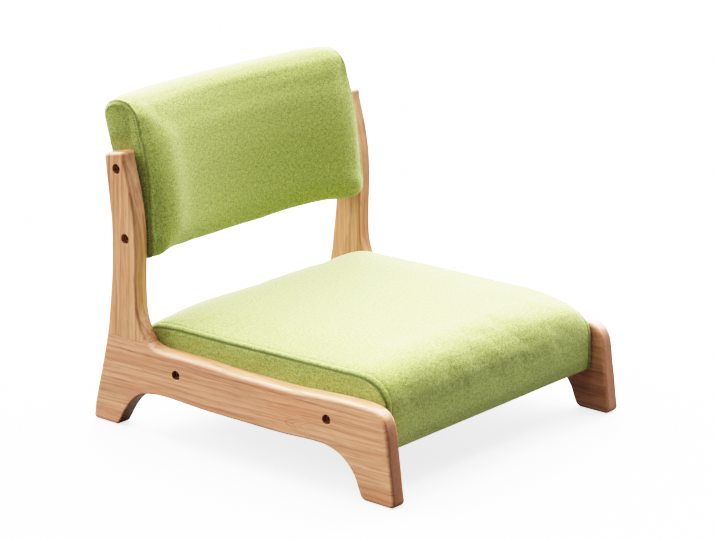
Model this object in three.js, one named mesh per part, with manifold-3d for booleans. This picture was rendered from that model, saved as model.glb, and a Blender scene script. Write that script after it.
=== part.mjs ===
// Floor chair: two side boards with feet, two curved uprights, a bolted seat cushion and a bolted, curved back cushion.
// Millimetres. +Z up, +X to the right as seen from in front, and the front of the chair faces -Y.
// The origin is on the floor, at the centre of the overall width and depth.
import * as THREE from 'three';
import { mergeVertices } from 'three/addons/utils/BufferGeometryUtils.js';
import Module from 'manifold-3d';

const wasm = await Module();
wasm.setup();

// ---------------------------------------------------------------- driving dimensions
const OVERALL_WIDTH = 460;        // outside of board to outside of board
const BOARD = 22;                 // thickness of the side boards and uprights
const HALF = OVERALL_WIDTH / 2;
const INNER = HALF - BOARD;       // inner face of a board
const EDGE_ROUND = 3.5;           // round-over along the boards' edges
const DATUM_Y = 8.231;            // the profiles below are drawn from a line this far in front of the centre
const GAP = 0.3;                  // clearance between touching pieces

const JOINT_Z = 121.7;            // glue line between upright and side frame

const BOLTS = [                   // centres in the side view (y, z)
  { name: 'seat_front', y: -145.1, z: 90, into: 'seat' },
  { name: 'seat_rear', y: 106.9, z: 90, into: 'seat' },
  { name: 'back_lower', y: 191.2, z: 254.1, into: 'back' },
  { name: 'back_upper', y: 203.4, z: 343.5, into: 'back' },
];
const COUNTERBORE_R = 6.3;
const COUNTERBORE_DEPTH = 12;
const BOLT_HOLE_R = 3.4;
const BOLT_R = 3;
const BOLT_LENGTH = 30;
const HEAD_R = 5;
const HEAD_H = 6;
const HEX_R = 2.9;
const WASHER_R = 5.8;
const WASHER_T = 1;
const INSERT_R = 5;
const INSERT_LENGTH = 15;

const DOWEL_R = 4;
const DOWEL_LENGTH = 40;
const DOWEL_Y = [184, 213];

const CLOTH = 1.5;                // thickness of the cover cloth
const PAD_HALF = INNER - 0.5;     // outside of a cushion's side panel
const WRAP_HALF = PAD_HALF - CLOTH - GAP; // end of the main cover panel, the foam and the wood
const SEAT_BOTTOM = 57;
const RAIL_DEPTH = 20;            // thickness of the seat's rails
const RAIL_Z0 = 59;
const DECK_Z0 = 112;
const DECK_T = 9;
const SEAT_CROWN = 10.5;            // how much the seat's middle stands above its sides

const BACK_SAG_FRONT = 17;        // how far the back's middle lies behind its ends, front face
const BACK_SAG_REAR = 22;         // the same, rear face
const BACK_THICK = 57;
const BLOCK_W = 25.4;             // back end blocks: width along X
const BLOCK_D = 26;               // and depth
const CORE_T = 10;                // bent plywood in the back

// ---------------------------------------------------------------- colours
const WOOD = { color: 0xd9b083, roughness: 0.5, metalness: 0 };
const PLY = { color: 0xd8bd93, roughness: 0.7, metalness: 0 };
const PINE = { color: 0xdcbf90, roughness: 0.7, metalness: 0 };
const CLOTH_GREEN = { color: 0x9cc24a, roughness: 0.9, metalness: 0 };
const FOAM = { color: 0xf0ead6, roughness: 1, metalness: 0 };
const LINING = { color: 0x2b2b2b, roughness: 0.95, metalness: 0 };
const BRONZE = { color: 0x6d5238, roughness: 0.4, metalness: 0.8 };
const ZINC = { color: 0xb9bcc0, roughness: 0.35, metalness: 0.9 };

// ---------------------------------------------------------------- helpers
function solidOf(geometry) {
  const g = geometry.clone();
  for (const key of Object.keys(g.attributes)) if (key !== 'position') g.deleteAttribute(key);
  const merged = mergeVertices(g, 1e-4);
  const corners = merged.index.array, kept = [];
  for (let i = 0; i < corners.length; i += 3) { // a lathe leaves triangles of no area on its axis
    const [a, b, c] = [corners[i], corners[i + 1], corners[i + 2]];
    if (a !== b && b !== c && c !== a) kept.push(a, b, c);
  }
  return new wasm.Manifold(new wasm.Mesh({
    numProp: 3,
    vertProperties: new Float32Array(merged.attributes.position.array),
    triVerts: new Uint32Array(kept),
  }));
}

function geometryOf(solid) {
  const mesh = solid.getMesh();
  const g = new THREE.BufferGeometry();
  const positions = new Float32Array(mesh.numVert * 3);
  for (let i = 0; i < mesh.numVert; i++) {
    for (let k = 0; k < 3; k++) positions[3 * i + k] = mesh.vertProperties[mesh.numProp * i + k];
  }
  g.setAttribute('position', new THREE.BufferAttribute(positions, 3));
  g.setIndex(new THREE.BufferAttribute(new Uint32Array(mesh.triVerts), 1));
  g.computeVertexNormals();
  return g;
}

const group = new THREE.Group();
function add(name, geometry, look) {
  const mesh = new THREE.Mesh(geometry, new THREE.MeshStandardMaterial(look));
  mesh.name = name;
  group.add(mesh);
  return mesh;
}

// A side-view outline (y, z) measured from the datum becomes a shape in the part's own frame.
const shift = (points) => points.map(([y, z]) => new THREE.Vector2(y - DATUM_Y, z));

// Extrudes a side-view outline along X from x0 to x1, in equal steps.
function extrudeX(points, x0, x1, steps = 1, hole = null) {
  const shape = new THREE.Shape(shift(points));
  if (hole) shape.holes.push(new THREE.Path(shift(hole)));
  const g = new THREE.ExtrudeGeometry(shape, { depth: x1 - x0, steps, bevelEnabled: false, curveSegments: 1 });
  g.applyMatrix4(new THREE.Matrix4().makeBasis(
    new THREE.Vector3(0, 1, 0), new THREE.Vector3(0, 0, 1), new THREE.Vector3(1, 0, 0)));
  g.translate(x0, 0, 0);
  return g;
}

// Extrudes a front-view outline (x, z) along Y, right through the part.
function extrudeY(points) {
  const shape = new THREE.Shape(points.map(([x, z]) => new THREE.Vector2(x, z)));
  const g = new THREE.ExtrudeGeometry(shape, { depth: 700, steps: 1, bevelEnabled: false, curveSegments: 1 });
  g.applyMatrix4(new THREE.Matrix4().makeBasis(
    new THREE.Vector3(1, 0, 0), new THREE.Vector3(0, 0, 1), new THREE.Vector3(0, -1, 0)));
  g.translate(0, 350, 0);
  return g;
}

// Moves each vertex of a geometry by a function of its place, with y measured from the datum.
function bend(geometry, f) {
  const p = geometry.attributes.position;
  for (let i = 0; i < p.count; i++) {
    const [x, y, z] = f(p.getX(i), p.getY(i) + DATUM_Y, p.getZ(i));
    p.setXYZ(i, x, y - DATUM_Y, z);
  }
  return geometry;
}

function spline(points, count) {
  const curve = new THREE.SplineCurve(points.map(([y, z]) => new THREE.Vector2(y, z)));
  return curve.getSpacedPoints(count).map((p) => [p.x, p.y]);
}

// Replaces each corner given as [y, z, radius] by an arc that touches both of its edges.
function fillet(corners, count = 4) {
  const out = [];
  const n = corners.length;
  corners.forEach((corner, i) => {
    const r = corner[2] || 0;
    if (!r) { out.push([corner[0], corner[1]]); return; }
    const before = corners[(i + n - 1) % n];
    const after = corners[(i + 1) % n];
    const c = new THREE.Vector2(corner[0], corner[1]);
    const a = new THREE.Vector2(before[0], before[1]).sub(c);
    const b = new THREE.Vector2(after[0], after[1]).sub(c);
    const la = a.length(), lb = b.length();
    a.normalize(); b.normalize();
    const half = Math.acos(THREE.MathUtils.clamp(a.dot(b), -1, 1)) / 2;
    const back = r / Math.tan(half);
    if (back > la || back > lb) throw new Error(`corner ${corner} has no room for its radius`);
    const centre = c.clone().addScaledVector(a.clone().add(b).normalize(), r / Math.sin(half));
    const from = c.clone().addScaledVector(a, back).sub(centre);
    const to = c.clone().addScaledVector(b, back).sub(centre);
    const turn = Math.atan2(from.x * to.y - from.y * to.x, from.dot(to));
    for (let k = 0; k <= count; k++) {
      const p = from.clone().rotateAround(new THREE.Vector2(), turn * k / count).add(centre);
      out.push([p.x, p.y]);
    }
  });
  return out;
}

// Moves an open or closed path sideways by d, to the left of its direction.
function offset(path, d, closed = false) {
  const n = path.length;
  return path.map(([y, z], i) => {
    const p = closed ? path[(i + n - 1) % n] : path[Math.max(i - 1, 0)];
    const q = closed ? path[(i + 1) % n] : path[Math.min(i + 1, n - 1)];
    let u = new THREE.Vector2(y - p[0], z - p[1]);
    let v = new THREE.Vector2(q[0] - y, q[1] - z);
    if (u.length() < 1e-9) u = v.clone();
    if (v.length() < 1e-9) v = u.clone();
    u.normalize(); v.normalize();
    const nu = new THREE.Vector2(-u.y, u.x), nv = new THREE.Vector2(-v.y, v.x);
    const m = nu.clone().add(nv).normalize();
    const k = d / Math.max(0.35, m.dot(nu));
    return [y + m.x * k, z + m.y * k];
  });
}

const smooth = (t) => { const c = THREE.MathUtils.clamp(t, 0, 1); return c * c * (3 - 2 * c); };

function box(x0, x1, y0, y1, z0, z1) { // y from the datum
  const g = new THREE.BoxGeometry(x1 - x0, y1 - y0, z1 - z0);
  g.translate((x0 + x1) / 2, (y0 + y1) / 2 - DATUM_Y, (z0 + z1) / 2);
  return g;
}

function cylinderX(r, x0, x1, y, z, sides) {
  const g = new THREE.CylinderGeometry(r, r, Math.abs(x1 - x0), sides);
  g.rotateZ(Math.PI / 2);
  g.translate((x0 + x1) / 2, y - DATUM_Y, z);
  return g;
}

function cylinderZ(r, x, y, z0, z1, sides) {
  const g = new THREE.CylinderGeometry(r, r, z1 - z0, sides);
  g.rotateX(Math.PI / 2);
  g.translate(x, y - DATUM_Y, (z0 + z1) / 2);
  return g;
}

// ---------------------------------------------------------------- side frame and upright, side view
// The outline runs round the feet, the arch between them, the rear edge, the upright and the rail's top.
const ARCH_FRONT = [[-194.5, 14.2], [-189.9, 25.5], [-181.9, 36.8], [-169.8, 47.3], [-157.1, 53.4], [-144.6, 56.7], [-130.9, 57.6], [-110, 57.1], [-80.2, 55.4]];
const UNDERSIDE = [[-60.2, 54.9], [-40.3, 54.6], [0, 54.5], [39.4, 54.2], [57.3, 54.2], [75.2, 54.7], [99.1, 55.6]];
const ARCH_REAR = [[119, 56.3], [137.8, 56], [152.5, 54.4], [163.4, 52.1], [173.5, 47.9], [183.1, 41.2], [192.6, 31.6], [202.3, 18.1], [208.7, 7.4]];
const REAR_LOWER = [[254.9, 21.9], [248.6, 45.3], [242, 68.7], [236, 91.8], [231.1, 111.8], [228.8, 121.7]];
const REAR_UPPER = [[228.8, 121.7], [226.2, 135.5], [223.1, 159.3], [221.3, 173.2], [219, 192.1], [217.4, 209], [216.1, 231.8], [215.6, 256.7], [216.1, 277.5], [217.7, 293.2], [219.9, 315.1], [222.3, 334], [224, 346.9]];
const FRONT_UPPER = [[190.6, 357], [185.7, 338], [181.3, 321.1], [178, 304.2], [175.1, 286.4], [173.3, 263.5], [173, 236.6], [174.2, 209.7], [174.8, 185.9], [173.4, 159.3], [169, 142.7], [163.8, 131.6], [156.8, 122.9]];
const RAIL_TOP = [[130.7, 116.5], [61.1, 116.2], [35.2, 115.3], [21.2, 114.8], [-86.3, 114.6], [-100.3, 115.4], [-112.2, 116.5], [-125.2, 117.3], [-138.1, 118.1], [-150.1, 118.8], [-163, 119.6],
  [-175, 120.1], [-187.9, 120.3], [-200, 120.2], [-209, 119.8],
  [-217.5, 119.1], [-224.3, 116.8], [-230.7, 112.3], [-235.2, 106.8], [-238.4, 99.5], [-240.4, 91], [-241.8, 82], [-243.2, 69.5], [-247, 39.6]];

const boardOutline = fillet([
  [-252.5, 0, 5], [-200.4, 0, 7],
  ...spline(ARCH_FRONT, 11),
  ...UNDERSIDE,
  ...spline(ARCH_REAR, 9),
  [213.3, 0, 5], [258, 0, 5],
  ...spline(REAR_LOWER, 6),
  ...spline(REAR_UPPER, 13).slice(1),
  [225.4, 361, 6], [191.2, 367.5, 5],
  ...spline(FRONT_UPPER, 14),
  [150.8, 119.1], [144.1, 117],
  ...RAIL_TOP,
], 3);

function boardBlank() {
  const shape = new THREE.Shape(shift(boardOutline));
  const g = new THREE.ExtrudeGeometry(shape, {
    depth: BOARD - 2 * EDGE_ROUND, steps: 1, curveSegments: 1,
    bevelEnabled: true, bevelThickness: EDGE_ROUND, bevelSize: EDGE_ROUND, bevelOffset: -EDGE_ROUND, bevelSegments: 2,
  });
  g.applyMatrix4(new THREE.Matrix4().makeBasis(
    new THREE.Vector3(0, 1, 0), new THREE.Vector3(0, 0, 1), new THREE.Vector3(1, 0, 0)));
  g.translate(EDGE_ROUND - BOARD / 2, 0, 0);
  return g;
}

const blank = boardBlank();
for (const [side, s] of [['left', -1], ['right', 1]]) {
  const placed = blank.clone();
  placed.translate(s * (HALF - BOARD / 2), 0, 0);
  let whole = solidOf(placed);
  for (const b of BOLTS) {
    whole = whole.subtract(solidOf(cylinderX(COUNTERBORE_R, s * (HALF - COUNTERBORE_DEPTH), s * (HALF + 5), b.y, b.z, 20)));
    whole = whole.subtract(solidOf(cylinderX(BOLT_HOLE_R, s * (INNER - 5), s * (HALF - COUNTERBORE_DEPTH + 2), b.y, b.z, 12)));
  }
  let low = whole.intersect(solidOf(box(-300, 300, -400, 400, -50, JOINT_Z - GAP / 2)));
  let high = whole.intersect(solidOf(box(-300, 300, -400, 400, JOINT_Z + GAP / 2, 600)));
  const x = s * (HALF - BOARD / 2);
  DOWEL_Y.forEach((y, i) => {
    const hole = solidOf(cylinderZ(DOWEL_R + GAP, x, y, JOINT_Z - DOWEL_LENGTH / 2 - GAP, JOINT_Z + DOWEL_LENGTH / 2 + GAP, 12));
    low = low.subtract(hole);
    high = high.subtract(hole);
    const dowel = new THREE.CylinderGeometry(DOWEL_R - 0.1, DOWEL_R - 0.1, DOWEL_LENGTH, 12);
    dowel.rotateX(Math.PI / 2);
    const mesh = add(`${side}_${i === 0 ? 'front' : 'rear'}_dowel`, dowel, PINE);
    mesh.position.set(x, y - DATUM_Y, JOINT_Z);
  });
  add(`${side}_side_frame`, geometryOf(low), WOOD);
  add(`${side}_upright`, geometryOf(high), WOOD);
}

// ---------------------------------------------------------------- bolts, washers and threaded inserts
// Drawn along local +Z, which points out of the chair: the bolt's head is above local zero and its shank below.
const shank = new THREE.LatheGeometry([[0, -BOLT_LENGTH], [BOLT_R, -BOLT_LENGTH], [BOLT_R, 0], [HEAD_R, 0], [HEAD_R, HEAD_H - 0.8], [HEAD_R - 0.8, HEAD_H], [0, HEAD_H]]
  .map(([r, z]) => new THREE.Vector2(r, z)), 12);
shank.rotateX(Math.PI / 2);
const hex = new THREE.CylinderGeometry(HEX_R, HEX_R, 4, 6);
hex.rotateX(Math.PI / 2);
hex.translate(0, 0, HEAD_H - 3.5 + 2);
const boltGeometry = geometryOf(solidOf(shank).subtract(solidOf(hex)));

function ring(inner, outer, z0, z1, sides) {
  const g = new THREE.LatheGeometry([[inner, z0], [outer, z0], [outer, z1], [inner, z1], [inner, z0]]
    .map(([r, z]) => new THREE.Vector2(r, z)), sides);
  g.rotateX(Math.PI / 2);
  return g;
}
const washerGeometry = ring(BOLT_HOLE_R, WASHER_R, 0, WASHER_T, 12);
const insertGeometry = ring(BOLT_R + 0.3, INSERT_R, -INSERT_LENGTH, 0, 10);

const washerOut = HALF - COUNTERBORE_DEPTH + 0.2;
const headOut = washerOut + WASHER_T + 0.2;
const insertOut = WRAP_HALF - 0.3;
for (const [side, s] of [['left', -1], ['right', 1]]) {
  for (const b of BOLTS) {
    const place = (mesh, out) => {
      mesh.position.set(s * out, b.y - DATUM_Y, b.z);
      mesh.rotation.y = s * Math.PI / 2;
    };
    place(add(`${side}_${b.name}_bolt`, boltGeometry, BRONZE), headOut);
    place(add(`${side}_${b.name}_washer`, washerGeometry, ZINC), washerOut);
    place(add(`${side}_${b.name}_insert`, insertGeometry, ZINC), insertOut);
  }
}

// Hole in a rail or block for an insert and the bolt's end.
const insertHole = (b, s) => solidOf(cylinderX(INSERT_R + GAP, s * (headOut - BOLT_LENGTH - 1.5), s * (WRAP_HALF + 5), b.y, b.z, 12));
const clothHole = (b, s) => solidOf(cylinderX(4.5, s * (WRAP_HALF - 1), s * (PAD_HALF + 3), b.y, b.z, 12));

// ---------------------------------------------------------------- seat cushion
// Side view of the cover's outside at the side seam, from the bottom of the front face over the top to the bottom of the rear face.
const seatTop = [[-222.1, 99.3], [-222.5, 112], [-221.5, 121.5], [-217.4, 128.4], [-211.6, 134.6], [-204.8, 139.5], [-196, 143.5], [-186.5, 145.8], [-174, 146.6],
  [-150, 146.6], [-112, 146.1], [-73, 145.4], [-20, 144.5], [33, 143.3], [87, 142.6], [128.8, 141.7], [148.7, 139.8], [163.6, 136.9], [175.6, 132.4], [184.6, 126.1], [190.1, 118.4], [192.8, 109.7], [193.6, 100.2]];
const seatOutside = [[-222.1, SEAT_BOTTOM], ...seatTop, [193.6, SEAT_BOTTOM]];
const seatLeft = -WRAP_HALF, seatRight = WRAP_HALF;

function crown(x, y, z) {
  const across = 1 - Math.abs(x / PAD_HALF) ** 3;
  const along = smooth((y + 224) / 60) * (1 - 0.15 * smooth((y - 90) / 105));
  const up = THREE.MathUtils.clamp((z - (DECK_Z0 + DECK_T + 1)) / 18, 0, 1);
  return [x, y, z + SEAT_CROWN * across * along * up];
}

// The main panel: a strip that goes up the front, over the top and down the rear, with a hem folded under each end.
const flapFront = [[-196, SEAT_BOTTOM]];
const flapRear = [[172, SEAT_BOTTOM]];
const wrapOutside = [...flapFront, ...seatOutside, ...flapRear];
const wrapInside = offset(wrapOutside, -CLOTH);
const seatWrap = bend(extrudeX([...wrapOutside, ...wrapInside.slice().reverse()], seatLeft, seatRight, 8), crown);
add('seat_cover_main', seatWrap, CLOTH_GREEN);

for (const [side, s] of [['left', -1], ['right', 1]]) {
  const inside = s * (PAD_HALF - CLOTH), outside = s * PAD_HALF;
  let panel = solidOf(extrudeX(seatOutside.slice().reverse(), Math.min(inside, outside), Math.max(inside, outside)));
  panel = panel.add(solidOf(s < 0 ? box(-PAD_HALF, -190, -190, 166, SEAT_BOTTOM, SEAT_BOTTOM + CLOTH)
    : box(190, PAD_HALF, -190, 166, SEAT_BOTTOM, SEAT_BOTTOM + CLOTH)));
  for (const b of BOLTS.filter((b) => b.into === 'seat')) panel = panel.subtract(clothHole(b, s));
  add(`seat_cover_${side}_side`, geometryOf(panel), CLOTH_GREEN);
}

const railFrontY = -211, railRearY = 189.5, deckRearY = 183;
const RAIL_TOPZ = DECK_Z0 - GAP;
add('seat_front_rail', box(-WRAP_HALF, WRAP_HALF, railFrontY, railFrontY + RAIL_DEPTH, RAIL_Z0, RAIL_TOPZ), PINE);
add('seat_rear_rail', box(-WRAP_HALF, WRAP_HALF, railRearY - RAIL_DEPTH, railRearY, RAIL_Z0, RAIL_TOPZ), PINE);
const y0 = railFrontY + RAIL_DEPTH + GAP, y1 = railRearY - RAIL_DEPTH - GAP;
for (const [side, s] of [['left', -1], ['right', 1]]) {
  let rail = solidOf(s < 0 ? box(-WRAP_HALF, -WRAP_HALF + RAIL_DEPTH, y0, y1, RAIL_Z0, RAIL_TOPZ)
    : box(WRAP_HALF - RAIL_DEPTH, WRAP_HALF, y0, y1, RAIL_Z0, RAIL_TOPZ));
  for (const b of BOLTS.filter((b) => b.into === 'seat')) rail = rail.subtract(insertHole(b, s));
  add(`seat_${side}_rail`, geometryOf(rail), PINE);
}
add('seat_centre_brace', box(-15, 15, y0, y1, RAIL_TOPZ - 28, RAIL_TOPZ), PINE);
add('seat_deck', box(-WRAP_HALF, WRAP_HALF, railFrontY, deckRearY, DECK_Z0, DECK_Z0 + DECK_T), PLY);

// Foam: over the deck, down the front rail and round the deck's rear edge.
const foamZ = DECK_Z0 + DECK_T + GAP;
const foamLine = offset(seatOutside, -(CLOTH + 0.8)).slice(1, -1);
const foamRear = foamLine.filter(([y, z]) => y < 0 || z > RAIL_TOPZ + 1);
const seatFoam = bend(extrudeX([
  [-222.1 + CLOTH + 0.8, RAIL_Z0 + 1], [railFrontY - GAP, RAIL_Z0 + 1], [railFrontY - GAP, foamZ], [deckRearY + GAP, foamZ],
  [deckRearY + GAP, RAIL_TOPZ + GAP + 0.5], [foamRear[foamRear.length - 1][0], RAIL_TOPZ + GAP + 0.5], ...foamRear.slice().reverse(),
], -WRAP_HALF, WRAP_HALF, 8), crown);
add('seat_foam', seatFoam, FOAM);

add('seat_dust_cover', box(-198, 198, -214, 188, SEAT_BOTTOM - 0.9, SEAT_BOTTOM - 0.3), LINING);

// ---------------------------------------------------------------- back cushion
// Side view of the cushion's outside at its ends, from the front bottom corner round the top to the rear bottom corner.
const BACK_END = [
  [169.9, 231.8], [167.4, 235], [166.7, 241.5], [166.7, 253.5], [168.5, 273.4], [169.9, 292.3], [171.7, 312.2], [173.9, 331.2], [177.2, 348.1], [182.8, 370.5], [188.9, 390.2],
  [193, 405.1], [198.3, 413.9], [206.8, 420.7], [216.8, 423.8], [226.7, 423.8], [235.7, 420.8], [242.6, 415], [246, 408],
  [246.6, 401.5], [244.3, 394], [241.4, 386.5], [236.2, 371.6], [231.2, 354], [228.3, 336.2], [226.3, 311.3], [224.8, 286.5], [223.5, 261.6], [222.5, 241.6], [221.3, 230.7], [217.6, 225.1], [211.1, 224.7],
];
const BACK_TILT = (y, z) => THREE.MathUtils.clamp((y - (167.2 + 0.16 * (z - 231))) / BACK_THICK, 0, 1);
function curveBack(x, y, z) {
  const across = 1 - (x / PAD_HALF) ** 2;
  const sag = BACK_SAG_FRONT + (BACK_SAG_REAR - BACK_SAG_FRONT) * BACK_TILT(y, z);
  return [x, y + sag * across, z - 4 * across * smooth((250 - z) / 25)]; // its lower edge hangs down a little in the middle
}
const BACK_STEPS = 8;
// Above the uprights the back narrows: its ends lean in between NARROW_Z0 and NARROW_Z1.
const NARROW_Z0 = 366, NARROW_Z1 = 398, NARROW_BY = 2;
const endLine = (s, out, high = 440) => [[s * out, NARROW_Z0], [s * (out - NARROW_BY), NARROW_Z1], [s * (out - NARROW_BY), high]];
function narrow(solid) {
  let rest = solid;
  for (const s of [-1, 1]) {
    const cut = [...endLine(s, WRAP_HALF), [s * 230, 440], [s * 230, NARROW_Z0]];
    rest = rest.subtract(solidOf(extrudeY(s > 0 ? cut.reverse() : cut)));
  }
  return rest;
}
const backOutside = BACK_END.slice().reverse();           // counter-clockwise in the side view
const backInside = offset(backOutside, CLOTH, true);
const backFill = offset(backOutside, CLOTH + 0.8, true);
add('back_cover_main', geometryOf(narrow(solidOf(
  bend(extrudeX(backOutside, -WRAP_HALF, WRAP_HALF, BACK_STEPS, backInside), curveBack)))), CLOTH_GREEN);

// End blocks: straight, on the line through the two bolts.
const lowerBolt = BOLTS[2], upperBolt = BOLTS[3];
const along = new THREE.Vector2(upperBolt.y - lowerBolt.y, upperBolt.z - lowerBolt.z).normalize();
const across = new THREE.Vector2(along.y, -along.x);
function blockOutline(grow) {
  const start = new THREE.Vector2(lowerBolt.y, lowerBolt.z).addScaledVector(along, -17 - grow);
  const end = new THREE.Vector2(upperBolt.y, upperBolt.z).addScaledVector(along, 18 + grow);
  const w = BLOCK_D / 2 + grow;
  return [
    start.clone().addScaledVector(across, w), end.clone().addScaledVector(across, w),
    end.clone().addScaledVector(across, -w), start.clone().addScaledVector(across, -w),
  ].map((p) => [p.x, p.y]);
}

// Bent plywood core, between the blocks.
const coreFront = [[187.6, 237.6], [189.7, 261.5], [192.3, 292.4], [194.8, 319.2], [198.2, 345.1], [203.4, 369], [208.6, 391], [211.4, 401.9]];
const coreOutline = (grow) => {
  const f = coreFront.map(([y, z]) => [y - grow, z]);
  f[0][1] -= grow; f[f.length - 1][1] += grow;
  const r = coreFront.map(([y, z]) => [y + CORE_T + grow, z - 1.4]);
  r[0][1] -= grow; r[r.length - 1][1] += grow;
  return [...f, ...r.reverse()].reverse();
};
const coreHalf = WRAP_HALF - BLOCK_W - GAP;
add('back_core', bend(extrudeX(coreOutline(0), -coreHalf, coreHalf, BACK_STEPS), curveBack), PLY);

let fill = narrow(solidOf(bend(extrudeX(backFill, -WRAP_HALF, WRAP_HALF, BACK_STEPS), curveBack)));
fill = fill.subtract(solidOf(bend(extrudeX(coreOutline(GAP), -coreHalf - GAP / 2, coreHalf + GAP / 2, BACK_STEPS), curveBack)));
for (const [side, s] of [['left', -1], ['right', 1]]) {
  const x0 = s < 0 ? -WRAP_HALF : WRAP_HALF - BLOCK_W;
  let block = solidOf(extrudeX(blockOutline(0), x0, x0 + BLOCK_W));
  for (const b of BOLTS.filter((b) => b.into === 'back')) block = block.subtract(insertHole(b, s));
  add(`back_${side}_block`, geometryOf(block), PINE);
  fill = fill.subtract(solidOf(extrudeX(blockOutline(GAP), s < 0 ? x0 - 5 : x0 - GAP, s < 0 ? x0 + BLOCK_W + GAP : x0 + BLOCK_W + 5)));
}
// The fill is split along the core into a front pad, which also rolls over the core's top, and a rear pad.
const splitLine = coreFront.map(([y, z]) => [y + CORE_T / 2, z]);
const splitTop = [[220, 427], [222, 470]];
const splitBottom = [[186, 200], [190, 229]];
const line = [...splitBottom, ...splitLine, ...splitTop];
const frontSide = [[90, 200], ...line.map(([y, z]) => [y - GAP / 2, z]), [90, 470]];
const rearSide = [...line.map(([y, z]) => [y + GAP / 2, z]).reverse(), [330, 200], [330, 470]];
const bendOnly = (x, y, z) => {
  const c = 1 - (x / PAD_HALF) ** 2;
  return [x, y + (BACK_SAG_FRONT + BACK_SAG_REAR) / 2 * c, z];
};
add('back_foam_front', geometryOf(fill.intersect(solidOf(bend(extrudeX(frontSide, -240, 240, BACK_STEPS), bendOnly)))), FOAM);
add('back_foam_rear', geometryOf(fill.intersect(solidOf(bend(extrudeX(rearSide, -240, 240, BACK_STEPS), bendOnly)))), FOAM);

for (const [side, s] of [['left', -1], ['right', 1]]) {
  const inside = s * (PAD_HALF - CLOTH), outside = s * PAD_HALF;
  const thick = solidOf(extrudeX(backOutside, Math.min(s * (PAD_HALF - 12), outside), Math.max(s * (PAD_HALF - 12), outside)));
  const band = [[inside, 200], ...endLine(s, PAD_HALF - CLOTH), ...endLine(s, PAD_HALF).reverse(), [outside, 200]];
  let panel = thick.intersect(solidOf(extrudeY(s > 0 ? band.reverse() : band)));
  for (const b of BOLTS.filter((b) => b.into === 'back')) panel = panel.subtract(clothHole(b, s));
  add(`back_cover_${side}_end`, geometryOf(panel), CLOTH_GREEN);
}

export default group;
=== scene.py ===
import bpy, bmesh, math
import numpy as np
from mathutils import Vector, Matrix, Quaternion


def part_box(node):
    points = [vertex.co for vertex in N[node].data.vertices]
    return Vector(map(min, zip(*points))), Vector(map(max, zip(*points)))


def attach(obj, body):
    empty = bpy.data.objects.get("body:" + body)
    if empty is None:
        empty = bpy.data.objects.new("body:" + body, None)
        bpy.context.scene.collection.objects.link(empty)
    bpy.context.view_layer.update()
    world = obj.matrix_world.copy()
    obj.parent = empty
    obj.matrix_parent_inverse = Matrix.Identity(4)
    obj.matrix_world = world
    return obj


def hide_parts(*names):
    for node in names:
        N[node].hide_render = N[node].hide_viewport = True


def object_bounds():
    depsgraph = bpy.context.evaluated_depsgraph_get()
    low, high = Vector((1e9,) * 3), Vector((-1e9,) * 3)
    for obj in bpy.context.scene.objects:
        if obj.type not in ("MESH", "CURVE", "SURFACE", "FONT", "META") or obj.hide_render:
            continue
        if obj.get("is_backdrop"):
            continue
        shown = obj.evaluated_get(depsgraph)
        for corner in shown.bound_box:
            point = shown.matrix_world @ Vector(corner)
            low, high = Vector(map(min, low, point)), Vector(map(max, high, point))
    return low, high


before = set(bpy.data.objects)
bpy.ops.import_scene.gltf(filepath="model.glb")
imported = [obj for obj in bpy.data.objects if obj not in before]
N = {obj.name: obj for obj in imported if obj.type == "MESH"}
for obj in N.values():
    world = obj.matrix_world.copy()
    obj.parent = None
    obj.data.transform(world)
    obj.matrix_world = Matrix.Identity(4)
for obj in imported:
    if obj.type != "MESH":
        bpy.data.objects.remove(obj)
cad_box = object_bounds()

# ------------------------------------------------------------------ sizes, mm
DATUM = 8.231                  # the side profiles are drawn from a line this far in front of the centre
HALF, INNER = 230.0, 208.0     # outer and inner face of a side board
PAD = 207.5                    # half width of the cushions
JOINT_Z = 121.7
BOLTS = {"seat_front": (-145.1, 90.0), "seat_rear": (106.9, 90.0), "back_lower": (191.2, 254.1), "back_upper": (203.4, 343.5)}
rng = np.random.default_rng(7)


def to_row(p):
    """mm with y from the datum -> metres in the row frame"""
    p = np.asarray(p, float).copy()
    p[..., 1] -= DATUM
    return p / 1000.0


def smooth(t):
    t = np.clip(t, 0.0, 1.0)
    return t * t * (3 - 2 * t)


def hashed(n, seed):
    return np.random.default_rng(seed).random(n)


def wobble(s, length, seed, octaves=3):
    """A smooth random line over s, about -1..1, with features of this length."""
    s = np.asarray(s, float)
    out, amp, tot = np.zeros_like(s), 1.0, 0.0
    for k in range(octaves):
        r = np.random.default_rng(seed * 31 + k).random(4096) * 2 - 1
        t = s / length * (2 ** k) + 17.3 * k + 500
        i = np.floor(t).astype(int)
        f = t - i
        f = f * f * (3 - 2 * f)
        out += amp * (r[i % 4096] * (1 - f) + r[(i + 1) % 4096] * f)
        tot += amp
        amp *= 0.5
    return out / tot


def noise2(u, v, length, seed, octaves=2):
    """Smooth random field over u, v, about -1..1."""
    u, v = np.asarray(u, float), np.asarray(v, float)
    out, amp, tot = np.zeros(np.broadcast(u, v).shape), 1.0, 0.0
    for k in range(octaves):
        g = np.random.default_rng(seed * 57 + k).random((256, 256)) * 2 - 1
        a, b = u / length * 2 ** k + 311.7 + 9 * k, v / length * 2 ** k + 277.1 + 5 * k
        i, j = np.floor(a).astype(int), np.floor(b).astype(int)
        f, h = a - i, b - j
        f, h = f * f * (3 - 2 * f), h * h * (3 - 2 * h)
        i0, i1, j0, j1 = i % 256, (i + 1) % 256, j % 256, (j + 1) % 256
        out += amp * ((g[i0, j0] * (1 - f) + g[i1, j0] * f) * (1 - h) + (g[i0, j1] * (1 - f) + g[i1, j1] * f) * h)
        tot += amp
        amp *= 0.5
    return out / tot


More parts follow.
